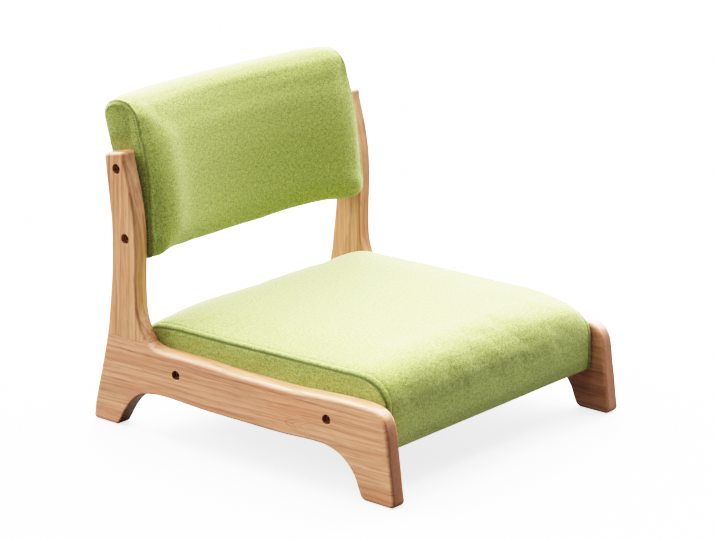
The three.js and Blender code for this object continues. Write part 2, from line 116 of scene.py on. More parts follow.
# ------------------------------------------------------------------ curves
def catmull(points, closed=False, alpha=0.5, per=24):
    """Dense points on a Catmull-Rom curve through the given ones."""
    p = np.array([q[:2] for q in points], float)
    if closed:
        p = np.vstack([p[-1], p, p[0], p[1]])
    else:
        p = np.vstack([2 * p[0] - p[1], p, 2 * p[-1] - p[-2]])
    out = []
    for i in range(len(p) - 3):
        a, b, c, d = p[i:i + 4]
        t0 = 0.0
        t1 = t0 + max(np.linalg.norm(b - a), 1e-6) ** alpha
        t2 = t1 + max(np.linalg.norm(c - b), 1e-6) ** alpha
        t3 = t2 + max(np.linalg.norm(d - c), 1e-6) ** alpha
        t = np.linspace(t1, t2, per, endpoint=False)[:, None]
        a1 = (t1 - t) / (t1 - t0) * a + (t - t0) / (t1 - t0) * b
        a2 = (t2 - t) / (t2 - t1) * b + (t - t1) / (t2 - t1) * c
        a3 = (t3 - t) / (t3 - t2) * c + (t - t2) / (t3 - t2) * d
        b1 = (t2 - t) / (t2 - t0) * a1 + (t - t0) / (t2 - t0) * a2
        b2 = (t3 - t) / (t3 - t1) * a2 + (t - t1) / (t3 - t1) * a3
        out.append((t2 - t) / (t2 - t1) * b1 + (t - t1) / (t2 - t1) * b2)
    out = np.vstack(out)
    return out if closed else np.vstack([out, p[-2]])


def arc(p):
    """Length along a polyline at each of its points."""
    return np.concatenate([[0.0], np.cumsum(np.linalg.norm(np.diff(p, axis=0), axis=1))])


def spaced(p, count):
    """count + 1 points at equal steps along a polyline."""
    s = arc(p)
    t = np.linspace(0, s[-1], count + 1)
    return np.stack([np.interp(t, s, p[:, k]) for k in range(p.shape[1])], axis=1)


def fillet(corners, count=9):
    """Corners given as (y, z, radius) become arcs; the rest stay."""
    out, n = [], len(corners)
    for i, q in enumerate(corners):
        if len(q) < 3:
            out.append((q[0], q[1]))
            continue
        c = np.array(q[:2], float)
        a = np.array(corners[i - 1][:2], float) - c
        b = np.array(corners[(i + 1) % n][:2], float) - c
        a, b = a / np.linalg.norm(a), b / np.linalg.norm(b)
        half = math.acos(np.clip(a @ b, -1, 1)) / 2
        back = q[2] / math.tan(half)
        centre = c + (a + b) / np.linalg.norm(a + b) * q[2] / math.sin(half)
        f, t = c + a * back - centre, c + b * back - centre
        turn = math.atan2(f[0] * t[1] - f[1] * t[0], f @ t)
        for k in range(count + 1):
            w = turn * k / count
            out.append((centre[0] + f[0] * math.cos(w) - f[1] * math.sin(w), centre[1] + f[0] * math.sin(w) + f[1] * math.cos(w)))
    return np.array(out)


# ------------------------------------------------------------------ mesh helpers
def mesh_object(name, verts, faces, mats=(), smooth_all=True, hide=False):
    """verts in metres, row frame"""
    me = bpy.data.meshes.new(name)
    me.from_pydata([tuple(map(float, v)) for v in verts], [], [tuple(map(int, f)) for f in faces])
    me.validate(clean_customdata=False)
    me.update()
    if smooth_all:
        me.polygons.foreach_set("use_smooth", [True] * len(me.polygons))
    ob = bpy.data.objects.new(name, me)
    bpy.context.scene.collection.objects.link(ob)
    for m in mats:
        me.materials.append(m)
    return ob


def outward(ob):
    bm = bmesh.new()
    bm.from_mesh(ob.data)
    bmesh.ops.recalc_face_normals(bm, faces=bm.faces)
    bm.to_mesh(ob.data)
    bm.free()
    ob.data.update()


def sharp_by_angle(ob, degrees):
    bm = bmesh.new()
    bm.from_mesh(ob.data)
    lim = math.radians(degrees)
    for e in bm.edges:
        if len(e.link_faces) == 2:
            e.smooth = e.calc_face_angle(0.0) < lim
    for f in bm.faces:
        f.smooth = True
    bm.to_mesh(ob.data)
    bm.free()


def weighted(ob):
    m = ob.modifiers.new("normals", "WEIGHTED_NORMAL")
    m.mode = "FACE_AREA"
    m.weight = 60
    m.keep_sharp = True


def baked(ob):
    """Applies every modifier of ob."""
    dg = bpy.context.evaluated_depsgraph_get()
    me = bpy.data.meshes.new_from_object(ob.evaluated_get(dg), preserve_all_data_layers=True, depsgraph=dg)
    old = ob.data
    ob.modifiers.clear()
    ob.data = me
    bpy.data.meshes.remove(old)
    return ob


def lathe(profile, sides, start=0.0):
    """(r, h) profile turned round local +Z; first and last point on the axis or the loop closed. Returns verts, faces in mm."""
    prof = list(profile)
    closed = np.allclose(prof[0], prof[-1])
    if closed:
        prof = prof[:-1]
    verts, rows = [], []
    for r, h in prof:
        if abs(r) < 1e-9:
            rows.append([len(verts)] * sides)
            verts.append((0, 0, h))
        else:
            rows.append(list(range(len(verts), len(verts) + sides)))
            for k in range(sides):
                a = start + 2 * math.pi * k / sides
                verts.append((r * math.cos(a), r * math.sin(a), h))
    faces = []
    m = len(prof)
    for i in range(m if closed else m - 1):
        a, b = rows[i], rows[(i + 1) % m]
        for k in range(sides):
            k2 = (k + 1) % sides
            f = [a[k], a[k2], b[k2], b[k]]
            f = [x for j, x in enumerate(f) if x not in f[:j]]
            if len(f) > 2:
                faces.append(f)
    return np.array(verts, float), faces


def along_x(verts, s, out, y, z):
    """Local +Z turned to point out of the side s at (out, y, z); mm."""
    v = np.asarray(verts, float)
    res = np.empty_like(v)
    res[:, 0] = s * (out + v[:, 2])
    res[:, 1] = y + v[:, 0]
    res[:, 2] = z + v[:, 1] * s
    return res


# ------------------------------------------------------------------ shader helpers
class Tree:
    def __init__(self, name):
        self.mat = bpy.data.materials.new(name)
        self.mat.use_nodes = True
        self.t = self.mat.node_tree
        self.t.nodes.clear()
        self.out = self.t.nodes.new("ShaderNodeOutputMaterial")
        self.bsdf = self.t.nodes.new("ShaderNodeBsdfPrincipled")
        self.t.links.new(self.bsdf.outputs[0], self.out.inputs[0])

    def node(self, kind, **kw):
        n = self.t.nodes.new(kind)
        for k, v in kw.items():
            setattr(n, k, v)
        return n

    def link(self, a, b):
        self.t.links.new(a, b)

    def put(self, socket, value):
        if isinstance(value, bpy.types.NodeSocket):
            self.link(value, socket)
        else:
            socket.default_value = value

    def math(self, op, a, b=None, c=None, clamp=False):
        n = self.node("ShaderNodeMath", operation=op, use_clamp=clamp)
        for i, v in enumerate((a, b, c)):
            if v is not None:
                self.put(n.inputs[i], v)
        return n.outputs[0]

    def mix(self, fac, a, b, blend="MIX"):
        n = self.node("ShaderNodeMix", data_type="RGBA", blend_type=blend)
        self.put(n.inputs["Factor"], fac)
        self.put(n.inputs[6], a)
        self.put(n.inputs[7], b)
        return n.outputs[2]

    def ramp(self, fac, stops):
        n = self.node("ShaderNodeValToRGB")
        el = n.color_ramp.elements
        while len(el) > 1:
            el.remove(el[-1])
        el[0].position, el[0].color = stops[0][0], stops[0][1]
        for pos, col in stops[1:]:
            e = el.new(pos)
            e.color = col
        self.link(fac, n.inputs[0])
        return n.outputs[0]

    def scale_range(self, v, a, b, c, d, clamp=True):
        n = self.node("ShaderNodeMapRange", clamp=clamp)
        for i, x in enumerate((v, a, b, c, d)):
            self.put(n.inputs[i], x)
        return n.outputs[0]

    def coords(self):
        return self.node("ShaderNodeTexCoord").outputs["Object"]

    def attribute(self, name):
        return self.node("ShaderNodeAttribute", attribute_name=name).outputs["Vector"]

    def mapping(self, vec, loc=(0, 0, 0), rot=(0, 0, 0), scale=(1, 1, 1)):
        n = self.node("ShaderNodeMapping")
        self.link(vec, n.inputs[0])
        n.inputs[1].default_value, n.inputs[2].default_value, n.inputs[3].default_value = loc, rot, scale
        return n.outputs[0]

    def noise(self, vec, scale=1.0, detail=3.0, rough=0.5, distortion=0.0, out=0):
        n = self.node("ShaderNodeTexNoise")
        self.link(vec, n.inputs["Vector"])
        n.inputs["Scale"].default_value = scale
        n.inputs["Detail"].default_value = detail
        n.inputs["Roughness"].default_value = rough
        n.inputs["Distortion"].default_value = distortion
        return n.outputs[out]

    def split(self, vec):
        n = self.node("ShaderNodeSeparateXYZ")
        self.link(vec, n.inputs[0])
        return n.outputs[0], n.outputs[1], n.outputs[2]

    def join(self, x, y, z):
        n = self.node("ShaderNodeCombineXYZ")
        for i, v in enumerate((x, y, z)):
            self.put(n.inputs[i], v)
        return n.outputs[0]

    def bump(self, height, strength=0.3, distance=0.001, normal=None):
        n = self.node("ShaderNodeBump")
        n.inputs["Strength"].default_value = strength
        n.inputs["Distance"].default_value = distance
        self.link(height, n.inputs["Height"])
        if normal is not None:
            self.link(normal, n.inputs["Normal"])
        return n.outputs[0]

    def set(self, **kw):
        for k, v in kw.items():
            self.put(self.bsdf.inputs[k.replace("_", " ")], v)


def rgb(r, g, b):
    """sRGB 0-255 -> linear RGBA"""
    f = lambda c: (c / 255 / 12.92) if c / 255 <= 0.04045 else ((c / 255 + 0.055) / 1.055) ** 2.4
    return (f(r), f(g), f(b), 1.0)


# ------------------------------------------------------------------ materials
def wood(name, grain, seed=(0, 0, 0), tilt=0.0, light=rgb(222, 178, 140), mid=rgb(206, 158, 120), dark=rgb(170, 118, 82), line=None, knot=None, rough=0.42, coat=0.22, fine=1.0, front=(1, 1, 1)):
    """Plain-sawn pale hardwood. grain 'y' or 'z' is the axis that the fibres follow. front is the tint of the painted
    shade on faces that look forwards.
    """
    T = Tree(name)
    P = T.coords()
    rot = (tilt, 0, 0)
    base = T.mapping(P, loc=seed, rot=rot)
    x, y, z = T.split(base)
    if grain == "y":
        g = T.join(y, z, x)
    elif grain == "z":
        g = T.join(z, y, x)
    else:
        g = T.join(x, y, z)
    # g: first axis along the fibres, second across the face, third through the board
    bend = T.noise(T.mapping(g, scale=(3.2, 9, 9)), 1.0, 3, 0.5)
    bent = T.node("ShaderNodeVectorMath", operation="ADD")
    T.link(g, bent.inputs[0])
    off = T.join(0.0, T.math("MULTIPLY", T.math("SUBTRACT", bend, 0.5), 0.020), T.math("MULTIPLY", T.math("SUBTRACT", bend, 0.5), 0.010))
    T.link(off, bent.inputs[1])
    gb = bent.outputs[0]
    # growth rings: the distance from a far pith line, so that they run as long bands and close in tips
    gx, gy, gz = T.split(gb)
    ring_r = T.math("SQRT", T.math("ADD", T.math("POWER", T.math("MULTIPLY_ADD", gx, 0.035, gy), 2.0), T.math("POWER", T.math("MULTIPLY_ADD", gz, 0.55, 0.035), 2.0)))
    ring_n = T.noise(T.mapping(gb, scale=(2.0, 60, 60)), 1.0, 2, 0.5)
    ringv = T.math("FRACT", T.math("ADD", T.math("MULTIPLY", ring_r, 165.0), T.math("MULTIPLY", ring_n, 1.1)))
    rings = T.math("POWER", ringv, 3.0)
    streak = T.noise(T.mapping(gb, scale=(5.5, 260, 260)), 1.0, 5, 0.62)
    broad = T.noise(T.mapping(gb, scale=(2.4, 24, 24)), 1.0, 3, 0.5)
    blotch = T.noise(T.mapping(gb, scale=(9, 26, 26)), 1.0, 2, 0.5)
    pores = T.noise(T.mapping(gb, scale=(160, 2400, 2400)), 1.0, 1.5, 0.5)
    pore = T.scale_range(pores, 0.60, 0.74, 0.0, 1.0)
    strokes = T.scale_range(T.noise(T.mapping(gb, loc=(0.3, 0.1, 0.7), scale=(34, 430, 430)), 1.0, 2.5, 0.55), 0.54, 0.72, 0.0, 1.0)
    col = T.mix(T.scale_range(broad, 0.32, 0.68, 0.0, 1.0), light, mid)
    col = T.mix(T.math("MULTIPLY", T.scale_range(streak, 0.44, 0.72, 0.0, 1.0), 0.62 * fine), col, dark)
    col = T.mix(T.math("MULTIPLY", rings, 0.40 * fine), col, dark)
    col = T.mix(T.math("MULTIPLY", strokes, 0.40 * fine), col, dark)
    pink = T.mix(1.0, col, (1.05, 0.95, 0.93, 1), "MULTIPLY")
    col = T.mix(T.scale_range(blotch, 0.45, 0.72, 0.0, 1.0), col, pink)
    col = T.mix(T.math("MULTIPLY", pore, 0.34 * fine), col, (dark[0] * 0.62, dark[1] * 0.55, dark[2] * 0.5, 1))
    height = T.math("ADD", T.math("MULTIPLY", streak, 0.5), T.math("MULTIPLY", pore, -0.9))
    for zc, wide, lo, hi in (line or ()):
        # a brown growth line along the board, at height z with a little wander
        ox, oy, oz = T.split(P)
        wand = T.noise(T.mapping(P, scale=(0, 9, 0)), 1.0, 3, 0.5)
        at = T.math("ABSOLUTE", T.math("SUBTRACT", oz, T.math("MULTIPLY_ADD", wand, 0.0035, zc - 0.00175)))
        patch = T.scale_range(T.noise(T.mapping(P, scale=(0, 26, 0)), 1.0, 2, 0.6), 0.3, 0.62, 0.25, 1.0)
        m = T.math("MULTIPLY", T.scale_range(at, 0.0, wide, 1.0, 0.0), patch)
        m = T.math("MULTIPLY", m, T.scale_range(oy, lo, lo + 0.02, 0.0, 1.0))
        m = T.math("MULTIPLY", m, T.scale_range(oy, hi - 0.02, hi, 1.0, 0.0))
        col = T.mix(T.math("MULTIPLY", m, 0.72), col, (dark[0] * 0.85, dark[1] * 0.72, dark[2] * 0.62, 1))
    if knot is not None:
        # tips of two nested growth rings, open towards the front
        ky, kz, size, side = knot
        ox, oy, oz = T.split(P)
        wand = T.noise(T.mapping(P, scale=(0, 60, 60)), 1.0, 2, 0.5)
        dy = T.math("MULTIPLY", T.math("SUBTRACT", ky, oy), 1.0 / size)
        dz = T.math("MULTIPLY", T.math("SUBTRACT", T.math("MULTIPLY_ADD", wand, 0.003, oz), kz + 0.0015), 1.0 / size)
        r = T.math("SUBTRACT", dy, T.math("MULTIPLY", T.math("POWER", T.math("ABSOLUTE", dz), 1.35), 3.6))
        for at, w, a in ((0.0, 0.075, 0.62), (0.42, 0.11, 0.34), (0.95, 0.16, 0.2)):
            m = T.scale_range(T.math("ABSOLUTE", T.math("SUBTRACT", r, at)), 0.0, w, 1.0, 0.0)
            m = T.math("MULTIPLY", m, T.scale_range(T.math("ABSOLUTE", dz), 0.35, 0.75, 1.0, 0.0))
            m = T.math("MULTIPLY", m, T.scale_range(T.math("MULTIPLY", ox, side), 0.2285, 0.2295, 0.0, 1.0))
            col = T.mix(T.math("MULTIPLY", m, a), col, (dark[0] * 0.8, dark[1] * 0.66, dark[2] * 0.55, 1))
    # end grain is browner, and soaks up the finish
    nrm = T.node("ShaderNodeNewGeometry").outputs["Normal"]
    nx, ny, nz = T.split(nrm)
    along = T.math("ABSOLUTE", {"y": ny, "z": nz, "x": nx}[grain])
    end = T.scale_range(along, 0.62, 0.97, 0.0, 1.0)
    spots = T.noise(T.mapping(g, scale=(40, 900, 900)), 1.0, 3, 0.6)
    end_col = T.mix(T.scale_range(spots, 0.35, 0.7, 0.0, 1.0), (mid[0] * 0.56, mid[1] * 0.47, mid[2] * 0.40, 1), (dark[0] * 0.62, dark[1] * 0.52, dark[2] * 0.44, 1))
    col = T.mix(T.math("MULTIPLY", end, 0.8), col, end_col)
    # painted shade: faces that look forwards are multiplied by the front tint, darker towards the outer face and
    # lighter towards the inner face
    ox, oy, oz = T.split(P)
    outer_side_shade = T.scale_range(T.math("ABSOLUTE", ox), 0.2135, 0.2265, 0.0, 1.0)
    front_shade_tint = T.mix(outer_side_shade, (front[0] * 1.12, front[1] * 1.12, front[2] * 1.12, 1), (front[0] * 0.86, front[1] * 0.84, front[2] * 0.80, 1))
    col = T.mix(T.scale_range(ny, -0.85, -0.55, 1.0, 0.0), col, T.mix(1.0, col, front_shade_tint, "MULTIPLY"))
    # painted shade: faces that look down are darkened
    col = T.mix(T.scale_range(nz, -0.75, -0.2, 1.0, 0.0), col, T.mix(1.0, col, (0.60, 0.50, 0.40, 1), "MULTIPLY"))
    T.set(Base_Color=col, Roughness=T.scale_range(streak, 0.3, 0.8, rough - 0.06, rough + 0.10), Coat_Weight=coat, Coat_Roughness=0.30, Specular_IOR_Level=0.45)
    T.set(Normal=T.bump(height, 0.18, 0.0004))
    return T.mat


def fabric(name, base=(0.270, 0.314, 0.072), amount=0.84):
    """Heathered linen-look cloth, drawn on the cloth's own flat coordinates (attribute 'weave', metres)."""
    T = Tree(name)
    W = T.attribute("weave")
    warm = T.noise(T.mapping(W, scale=(46, 46, 46)), 1.0, 3, 0.55)
    warped = T.node("ShaderNodeVectorMath", operation="ADD")
    T.link(W, warped.inputs[0])
    wv = T.node("ShaderNodeVectorMath", operation="SCALE")
    T.link(T.noise(T.mapping(W, scale=(70, 70, 70)), 1.0, 2, 0.5, out=1), wv.inputs[0])
    wv.inputs["Scale"].default_value = 0.0009
    T.link(wv.outputs[0], warped.inputs[1])
    V = warped.outputs[0]
    u, v, w = T.split(V)
    pitch = 0.00105
    k = math.pi / pitch
    su, sv = T.math("SINE", T.math("MULTIPLY", u, k)), T.math("SINE", T.math("MULTIPLY", v, k))
    over = T.scale_range(T.math("MULTIPLY", su, sv), -0.25, 0.25, 0.0, 1.0)      # which thread lies on top
    warp_c = T.noise(T.mapping(V, scale=(950, 120, 1)), 1.0, 2, 0.55)
    weft_c = T.noise(T.mapping(V, loc=(3.1, 7.7, 0), scale=(120, 950, 1)), 1.0, 2, 0.55)
    thread = T.mix(over, warp_c, weft_c)
    heather = T.noise(T.mapping(V, scale=(640, 640, 1)), 1.0, 2.5, 0.7)
    clump = T.noise(T.mapping(V, loc=(4, 8, 0), scale=(250, 250, 1)), 1.0, 2, 0.6)
    slub = T.noise(T.mapping(V, loc=(9, 2, 0), scale=(60, 700, 1)), 1.0, 2, 0.5)
    slub2 = T.noise(T.mapping(V, loc=(1, 5, 0), scale=(700, 60, 1)), 1.0, 2, 0.5)
    b = base
    dark = (b[0] * 0.36, b[1] * 0.42, b[2] * 0.28, 1)
    lite = (min(1, b[0] * 1.75 + 0.03), min(1, b[1] * 1.62 + 0.03), min(1, b[2] * 2.2 + 0.015), 1)
    mid = (b[0], b[1], b[2], 1)
    f = T.math("ADD", T.math("MULTIPLY", T.math("SUBTRACT", heather, 0.5), 2.0), T.math("MULTIPLY", T.math("SUBTRACT", thread, 0.5), 0.9))
    f = T.math("ADD", f, T.math("MULTIPLY", T.math("SUBTRACT", clump, 0.5), 0.8))
    f = T.math("ADD", T.math("MULTIPLY", f, amount), 0.5)
    col = T.ramp(f, [(0.12, dark), (0.47, mid), (0.86, lite)])
    sl = T.math("MAXIMUM", T.scale_range(slub, 0.64, 0.80, 0.0, 1.0), T.scale_range(slub2, 0.64, 0.80, 0.0, 1.0))
    col = T.mix(T.math("MULTIPLY", sl, 0.30), col, lite)
    col = T.mix(T.math("MULTIPLY", T.math("SUBTRACT", warm, 0.5), 0.5, clamp=True), col, (b[0] * 1.25, b[1] * 1.1, b[2], 1))
    # threads: round across, dipping where they pass under
    cu = T.math("ABSOLUTE", T.math("SINE", T.math("MULTIPLY", u, k)))
    cv = T.math("ABSOLUTE", T.math("SINE", T.math("MULTIPLY", v, k)))
    relief = T.math("ADD", T.math("MULTIPLY", T.math("MINIMUM", cu, cv), 0.6), T.math("MULTIPLY", T.math("MULTIPLY", su, sv), 0.25))
    relief = T.math("ADD", relief, T.math("MULTIPLY", heather, 0.35))
    # painted shade in the dips where the threads pass under each other
    col = T.mix(T.math("MULTIPLY", T.scale_range(T.math("MINIMUM", cu, cv), 0.0, 0.35, 1.0, 0.0), 0.30), col, (b[0] * 0.34, b[1] * 0.38, b[2] * 0.25, 1))
    # painted shade along the seams: the cloth is darkened by the per-point seam attribute
    crease_shade = T.node("ShaderNodeAttribute", attribute_name="crease_shade").outputs["Fac"]
    col = T.mix(T.math("MULTIPLY", crease_shade, 0.86), col, (b[0] * 0.16, b[1] * 0.17, b[2] * 0.12, 1))
    T.set(Base_Color=col, Roughness=0.92, Specular_IOR_Level=0.25, Sheen_Weight=0.40, Sheen_Roughness=0.42, Sheen_Tint=(0.95, 1.0, 0.80, 1))
    T.set(Normal=T.bump(relief, 0.25, 0.0004))
    return T.mat


def metal(name, colour, rough, scale=900.0, dirt=(0.05, 0.035, 0.02, 1)):
    T = Tree(name)
    P = T.coords()
    n = T.noise(T.mapping(P, scale=(scale, scale, scale)), 1.0, 3, 0.6)
    m = T.noise(T.mapping(P, scale=(180, 180, 180)), 1.0, 2, 0.5)
    c2 = (colour[0] * 0.62, colour[1] * 0.58, colour[2] * 0.55, 1)
    col = T.mix(T.scale_range(n, 0.35, 0.7, 0.0, 1.0), (*colour, 1), c2)
    col = T.mix(T.math("MULTIPLY", T.scale_range(m, 0.5, 0.75, 0.0, 1.0), 0.5), col, dirt)
    T.set(Base_Color=col, Metallic=1.0, Roughness=T.scale_range(n, 0.3, 0.8, rough - 0.08, rough + 0.15))
    T.set(Normal=T.bump(n, 0.12, 0.0002))
    return T.mat


def plain_ply(name, edge_axis):
    """Plywood: face veneer with layers that show on the edges."""
    T = Tree(name)
    P = T.coords()
    x, y, z = T.split(P)
    lay = {"x": x, "y": y, "z": z}[edge_axis]
    face = T.noise(T.mapping(P, scale=(40, 5, 40)), 1.0, 4, 0.6)
    col = T.mix(T.scale_range(face, 0.35, 0.7, 0.0, 1.0), rgb(216, 188, 146), rgb(186, 148, 104))
    ply = T.math("GREATER_THAN", T.math("SINE", T.math("MULTIPLY", lay, 2 * math.pi / 0.0026)), 0.0)
    g = T.node("ShaderNodeNewGeometry").outputs["Normal"]
    nx, ny, nz = T.split(g)
    edge = T.math("SUBTRACT", 1.0, T.math("ABSOLUTE", {"x": nx, "y": ny, "z": nz}[edge_axis]))
    col = T.mix(T.math("MULTIPLY", T.math("MULTIPLY", ply, edge), 0.5), col, rgb(150, 108, 70))
    T.set(Base_Color=col, Roughness=0.7)
    T.set(Normal=T.bump(face, 0.2, 0.0004))
    return T.mat


def nonwoven(name):
    """Black spun dust cloth with a fine pressed dot pattern."""
    T = Tree(name)
    P = T.coords()
    fib = T.noise(T.mapping(P, scale=(900, 900, 900)), 1.0, 4, 0.7, distortion=1.5)
    x, y, z = T.split(P)
    k = 2 * math.pi / 0.0026
    dots = T.math("MULTIPLY", T.math("SINE", T.math("MULTIPLY", x, k)), T.math("SINE", T.math("MULTIPLY", y, k)))
    dots = T.scale_range(dots, 0.35, 0.7, 0.0, 1.0)
    cloud = T.noise(T.mapping(P, scale=(60, 60, 60)), 1.0, 3, 0.6)
    col = T.mix(T.scale_range(fib, 0.35, 0.7, 0.0, 1.0), (0.012, 0.012, 0.013, 1), (0.045, 0.045, 0.047, 1))
    col = T.mix(T.math("MULTIPLY", dots, 0.6), col, (0.006, 0.006, 0.006, 1))
    col = T.mix(T.math("MULTIPLY", cloud, 0.25), col, (0.06, 0.06, 0.06, 1))
    T.set(Base_Color=col, Roughness=0.85, Sheen_Weight=0.2, Sheen_Roughness=0.5)
    T.set(Normal=T.bump(T.math("SUBTRACT", fib, dots), 0.4, 0.0004))
    return T.mat


TAN = dict(light=rgb(230, 171, 129), mid=rgb(210, 146, 106), dark=rgb(139, 81, 46))
YEL = dict(light=rgb(228, 173, 126), mid=rgb(207, 148, 100), dark=rgb(142, 83, 45))
# front= is the tint of the painted shade on each board's faces that look forwards
M = {
    "left_rail": wood("wood_left_side", "y", seed=(0.0, 0.13, 0.004), tilt=0.012, line=((0.1058, 0.0016, -0.22, 0.24), (0.0178, 0.0013, -0.29, -0.17)), knot=(-0.0868, 0.0722, 0.024, -1), front=(0.77, 0.71, 0.59), fine=0.98, **TAN),
    "right_rail": wood("wood_right_side", "y", seed=(0.4, 0.71, 0.031), tilt=-0.018, line=((0.0985, 0.0012, -0.15, 0.2),), **TAN),
    "left_up": wood("wood_left_upright", "z", seed=(0.9, 0.02, 0.33), tilt=-0.03, front=(0.82, 0.75, 0.68), fine=1.22, **YEL),
    "right_up": wood("wood_right_upright", "z", seed=(1.3, 0.055, 0.71), tilt=0.02, front=(0.92, 0.88, 0.90), **YEL),
    "pine_x": wood("wood_inner_x", "x", seed=(0.3, 0.2, 0.1), light=rgb(226, 198, 150), mid=rgb(214, 180, 128), dark=rgb(170, 126, 78), coat=0.0, rough=0.7),
    "pine_y": wood("wood_inner_y", "y", seed=(0.7, 0.4, 0.2), light=rgb(226, 198, 150), mid=rgb(214, 180, 128), dark=rgb(170, 126, 78), coat=0.0, rough=0.7),
    "pine_z": wood("wood_inner_z", "z", seed=(0.1, 0.9, 0.5), light=rgb(226, 198, 150), mid=rgb(214, 180, 128), dark=rgb(170, 126, 78), coat=0.0, rough=0.7),
    "deck": plain_ply("plywood_flat", "z"),
    "core": plain_ply("plywood_bent", "y"),
    "cloth": fabric("green_linen_cloth"),
    "thread": fabric("green_sewing_thread", base=(0.13, 0.165, 0.022), amount=0.5),
    "bolt": metal("bronze_bolt", (0.42, 0.25, 0.13), 0.36),
    "zinc": metal("zinc_steel", (0.62, 0.63, 0.66), 0.38, dirt=(0.20, 0.19, 0.18, 1)),
    "lining": nonwoven("black_dust_cloth"),
}

# ------------------------------------------------------------------ side frames and uprights
ARCH = [[-194.5, 14.2], [-189.9, 25.5], [-181.9, 36.8], [-169.8, 47.3], [-157.1, 53.4], [-144.6, 56.7], [-130.9, 57.6], [-110, 57.1], [-80.2, 55.4], [-60.2, 54.9], [-40.3, 54.6],
        [0, 54.5], [39.4, 54.2], [57.3, 54.2], [75.2, 54.7], [99.1, 55.6], [119, 56.3], [137.8, 56], [152.5, 54.4], [163.4, 52.1], [173.5, 47.9], [183.1, 41.2], [192.6, 31.6], [202.3, 18.1],
        [208.7, 7.4]]
REAR = [[254.9, 21.9], [248.6, 45.3], [242, 68.7], [236, 91.8], [231.1, 111.8], [228.8, 121.7], [226.2, 135.5], [223.1, 159.3], [221.3, 173.2], [219, 192.1], [217.4, 209], [216.1, 231.8],
        [215.6, 256.7], [216.1, 277.5], [217.7, 293.2], [219.9, 315.1], [222.3, 334], [224, 346.9]]
FRONT_UPPER = [[190.6, 357], [185.7, 338], [181.3, 321.1], [178, 304.2], [175.1, 286.4], [173.3, 263.5], [173, 236.6], [174.2, 209.7], [174.8, 185.9], [173.4, 159.3], [169, 142.7],
               [163.8, 131.6], [156.8, 122.9], [151, 119], [144.1, 117], [130.7, 116.5]]
LEG = [[116, 116.4], [61.1, 116.2], [35.2, 115.3], [21.2, 114.8], [-20, 114.6], [-86.3, 114.6], [-100.3, 115.4], [-112.2, 116.5], [-125.2, 117.3], [-138.1, 118.1], [-150.1, 118.8],
       [-163, 119.6], [-175, 120.1], [-187.9, 120.3], [-200, 120.2], [-209, 119.8], [-217.5, 119.1], [-224.3, 116.8], [-230.7, 112.3], [-235.2, 106.8], [-238.4, 99.5], [-240.4, 91],
       [-241.8, 82], [-243.2, 69.5], [-247, 39.6],
       [-249.1, 22.6]]


def dense(points, step, keep=7.0):
    """A curve through the points with straight pieces of about keep mm at both ends, for the corner arcs."""
    p = catmull(points)
    s = arc(p)
    n = max(2, int(round((s[-1] - 2 * keep) / step)))
    t = np.concatenate([[0], np.linspace(keep, s[-1] - keep, n + 1), [s[-1]]])
    return [(float(np.interp(a, s, p[:, 0])), float(np.interp(a, s, p[:, 1]))) for a in t]


def board_outline():
    raw = [(-252.5, 0, 6.5), (-200.4, 0, 9)]
    raw += dense(ARCH, 2.5, 5.8)
    raw += [(213.3, 0, 5), (258, 0, 5)]
    raw += dense(REAR, 3.0, 9.0)
    raw += [(225.4, 361, 6), (191.2, 367.5, 4.5)]
    raw += dense(FRONT_UPPER, 3.0, 7.6)
    raw += dense(LEG, 2.2, 9.0)
    p = fillet(raw, 10)
    out = []
    for i in range(len(p)):                       # split the long straight pieces
        a, b = p[i], p[(i + 1) % len(p)]
        n = max(1, int(np.linalg.norm(b - a) / 4.0))
        out += [a + (b - a) * k / n for k in range(n)]
    return np.array(out)


def round_over(p, inner=False):
    """Edge radius at each outline point, mm."""
    y, z = p[:, 0], p[:, 1]
    r = np.full(len(p), 3.3)
    r = np.where((z > 112) & (z < 121) & (y < 148), 5.2, r)
    r = np.where((y < -213) & (z > 60), 5.0, r)
    r = np.where((y < -228) & (z <= 60), 3.6, r)
    r = np.where((z < 58) & (y > -200) & (y < 212), 2.6, r)
    r = np.where(z < 3, np.where(y < 0, 3.6, 2.2), r)
    r = np.where(z > 340, 4.2, r)
    if inner:                                     # only eased on the inner face, except down the front of the leg
        r = np.where((y < -213) & (z > 3), 4.6, np.where((z < 3) & (y < 0), 3.6, np.minimum(r, 1.9)))
    n = len(r)
    k = np.hanning(17)
    k /= k.sum()
    ext = np.concatenate([r[-16:], r, r[:16]])
    return np.convolve(ext, k, mode="same")[16:16 + n]


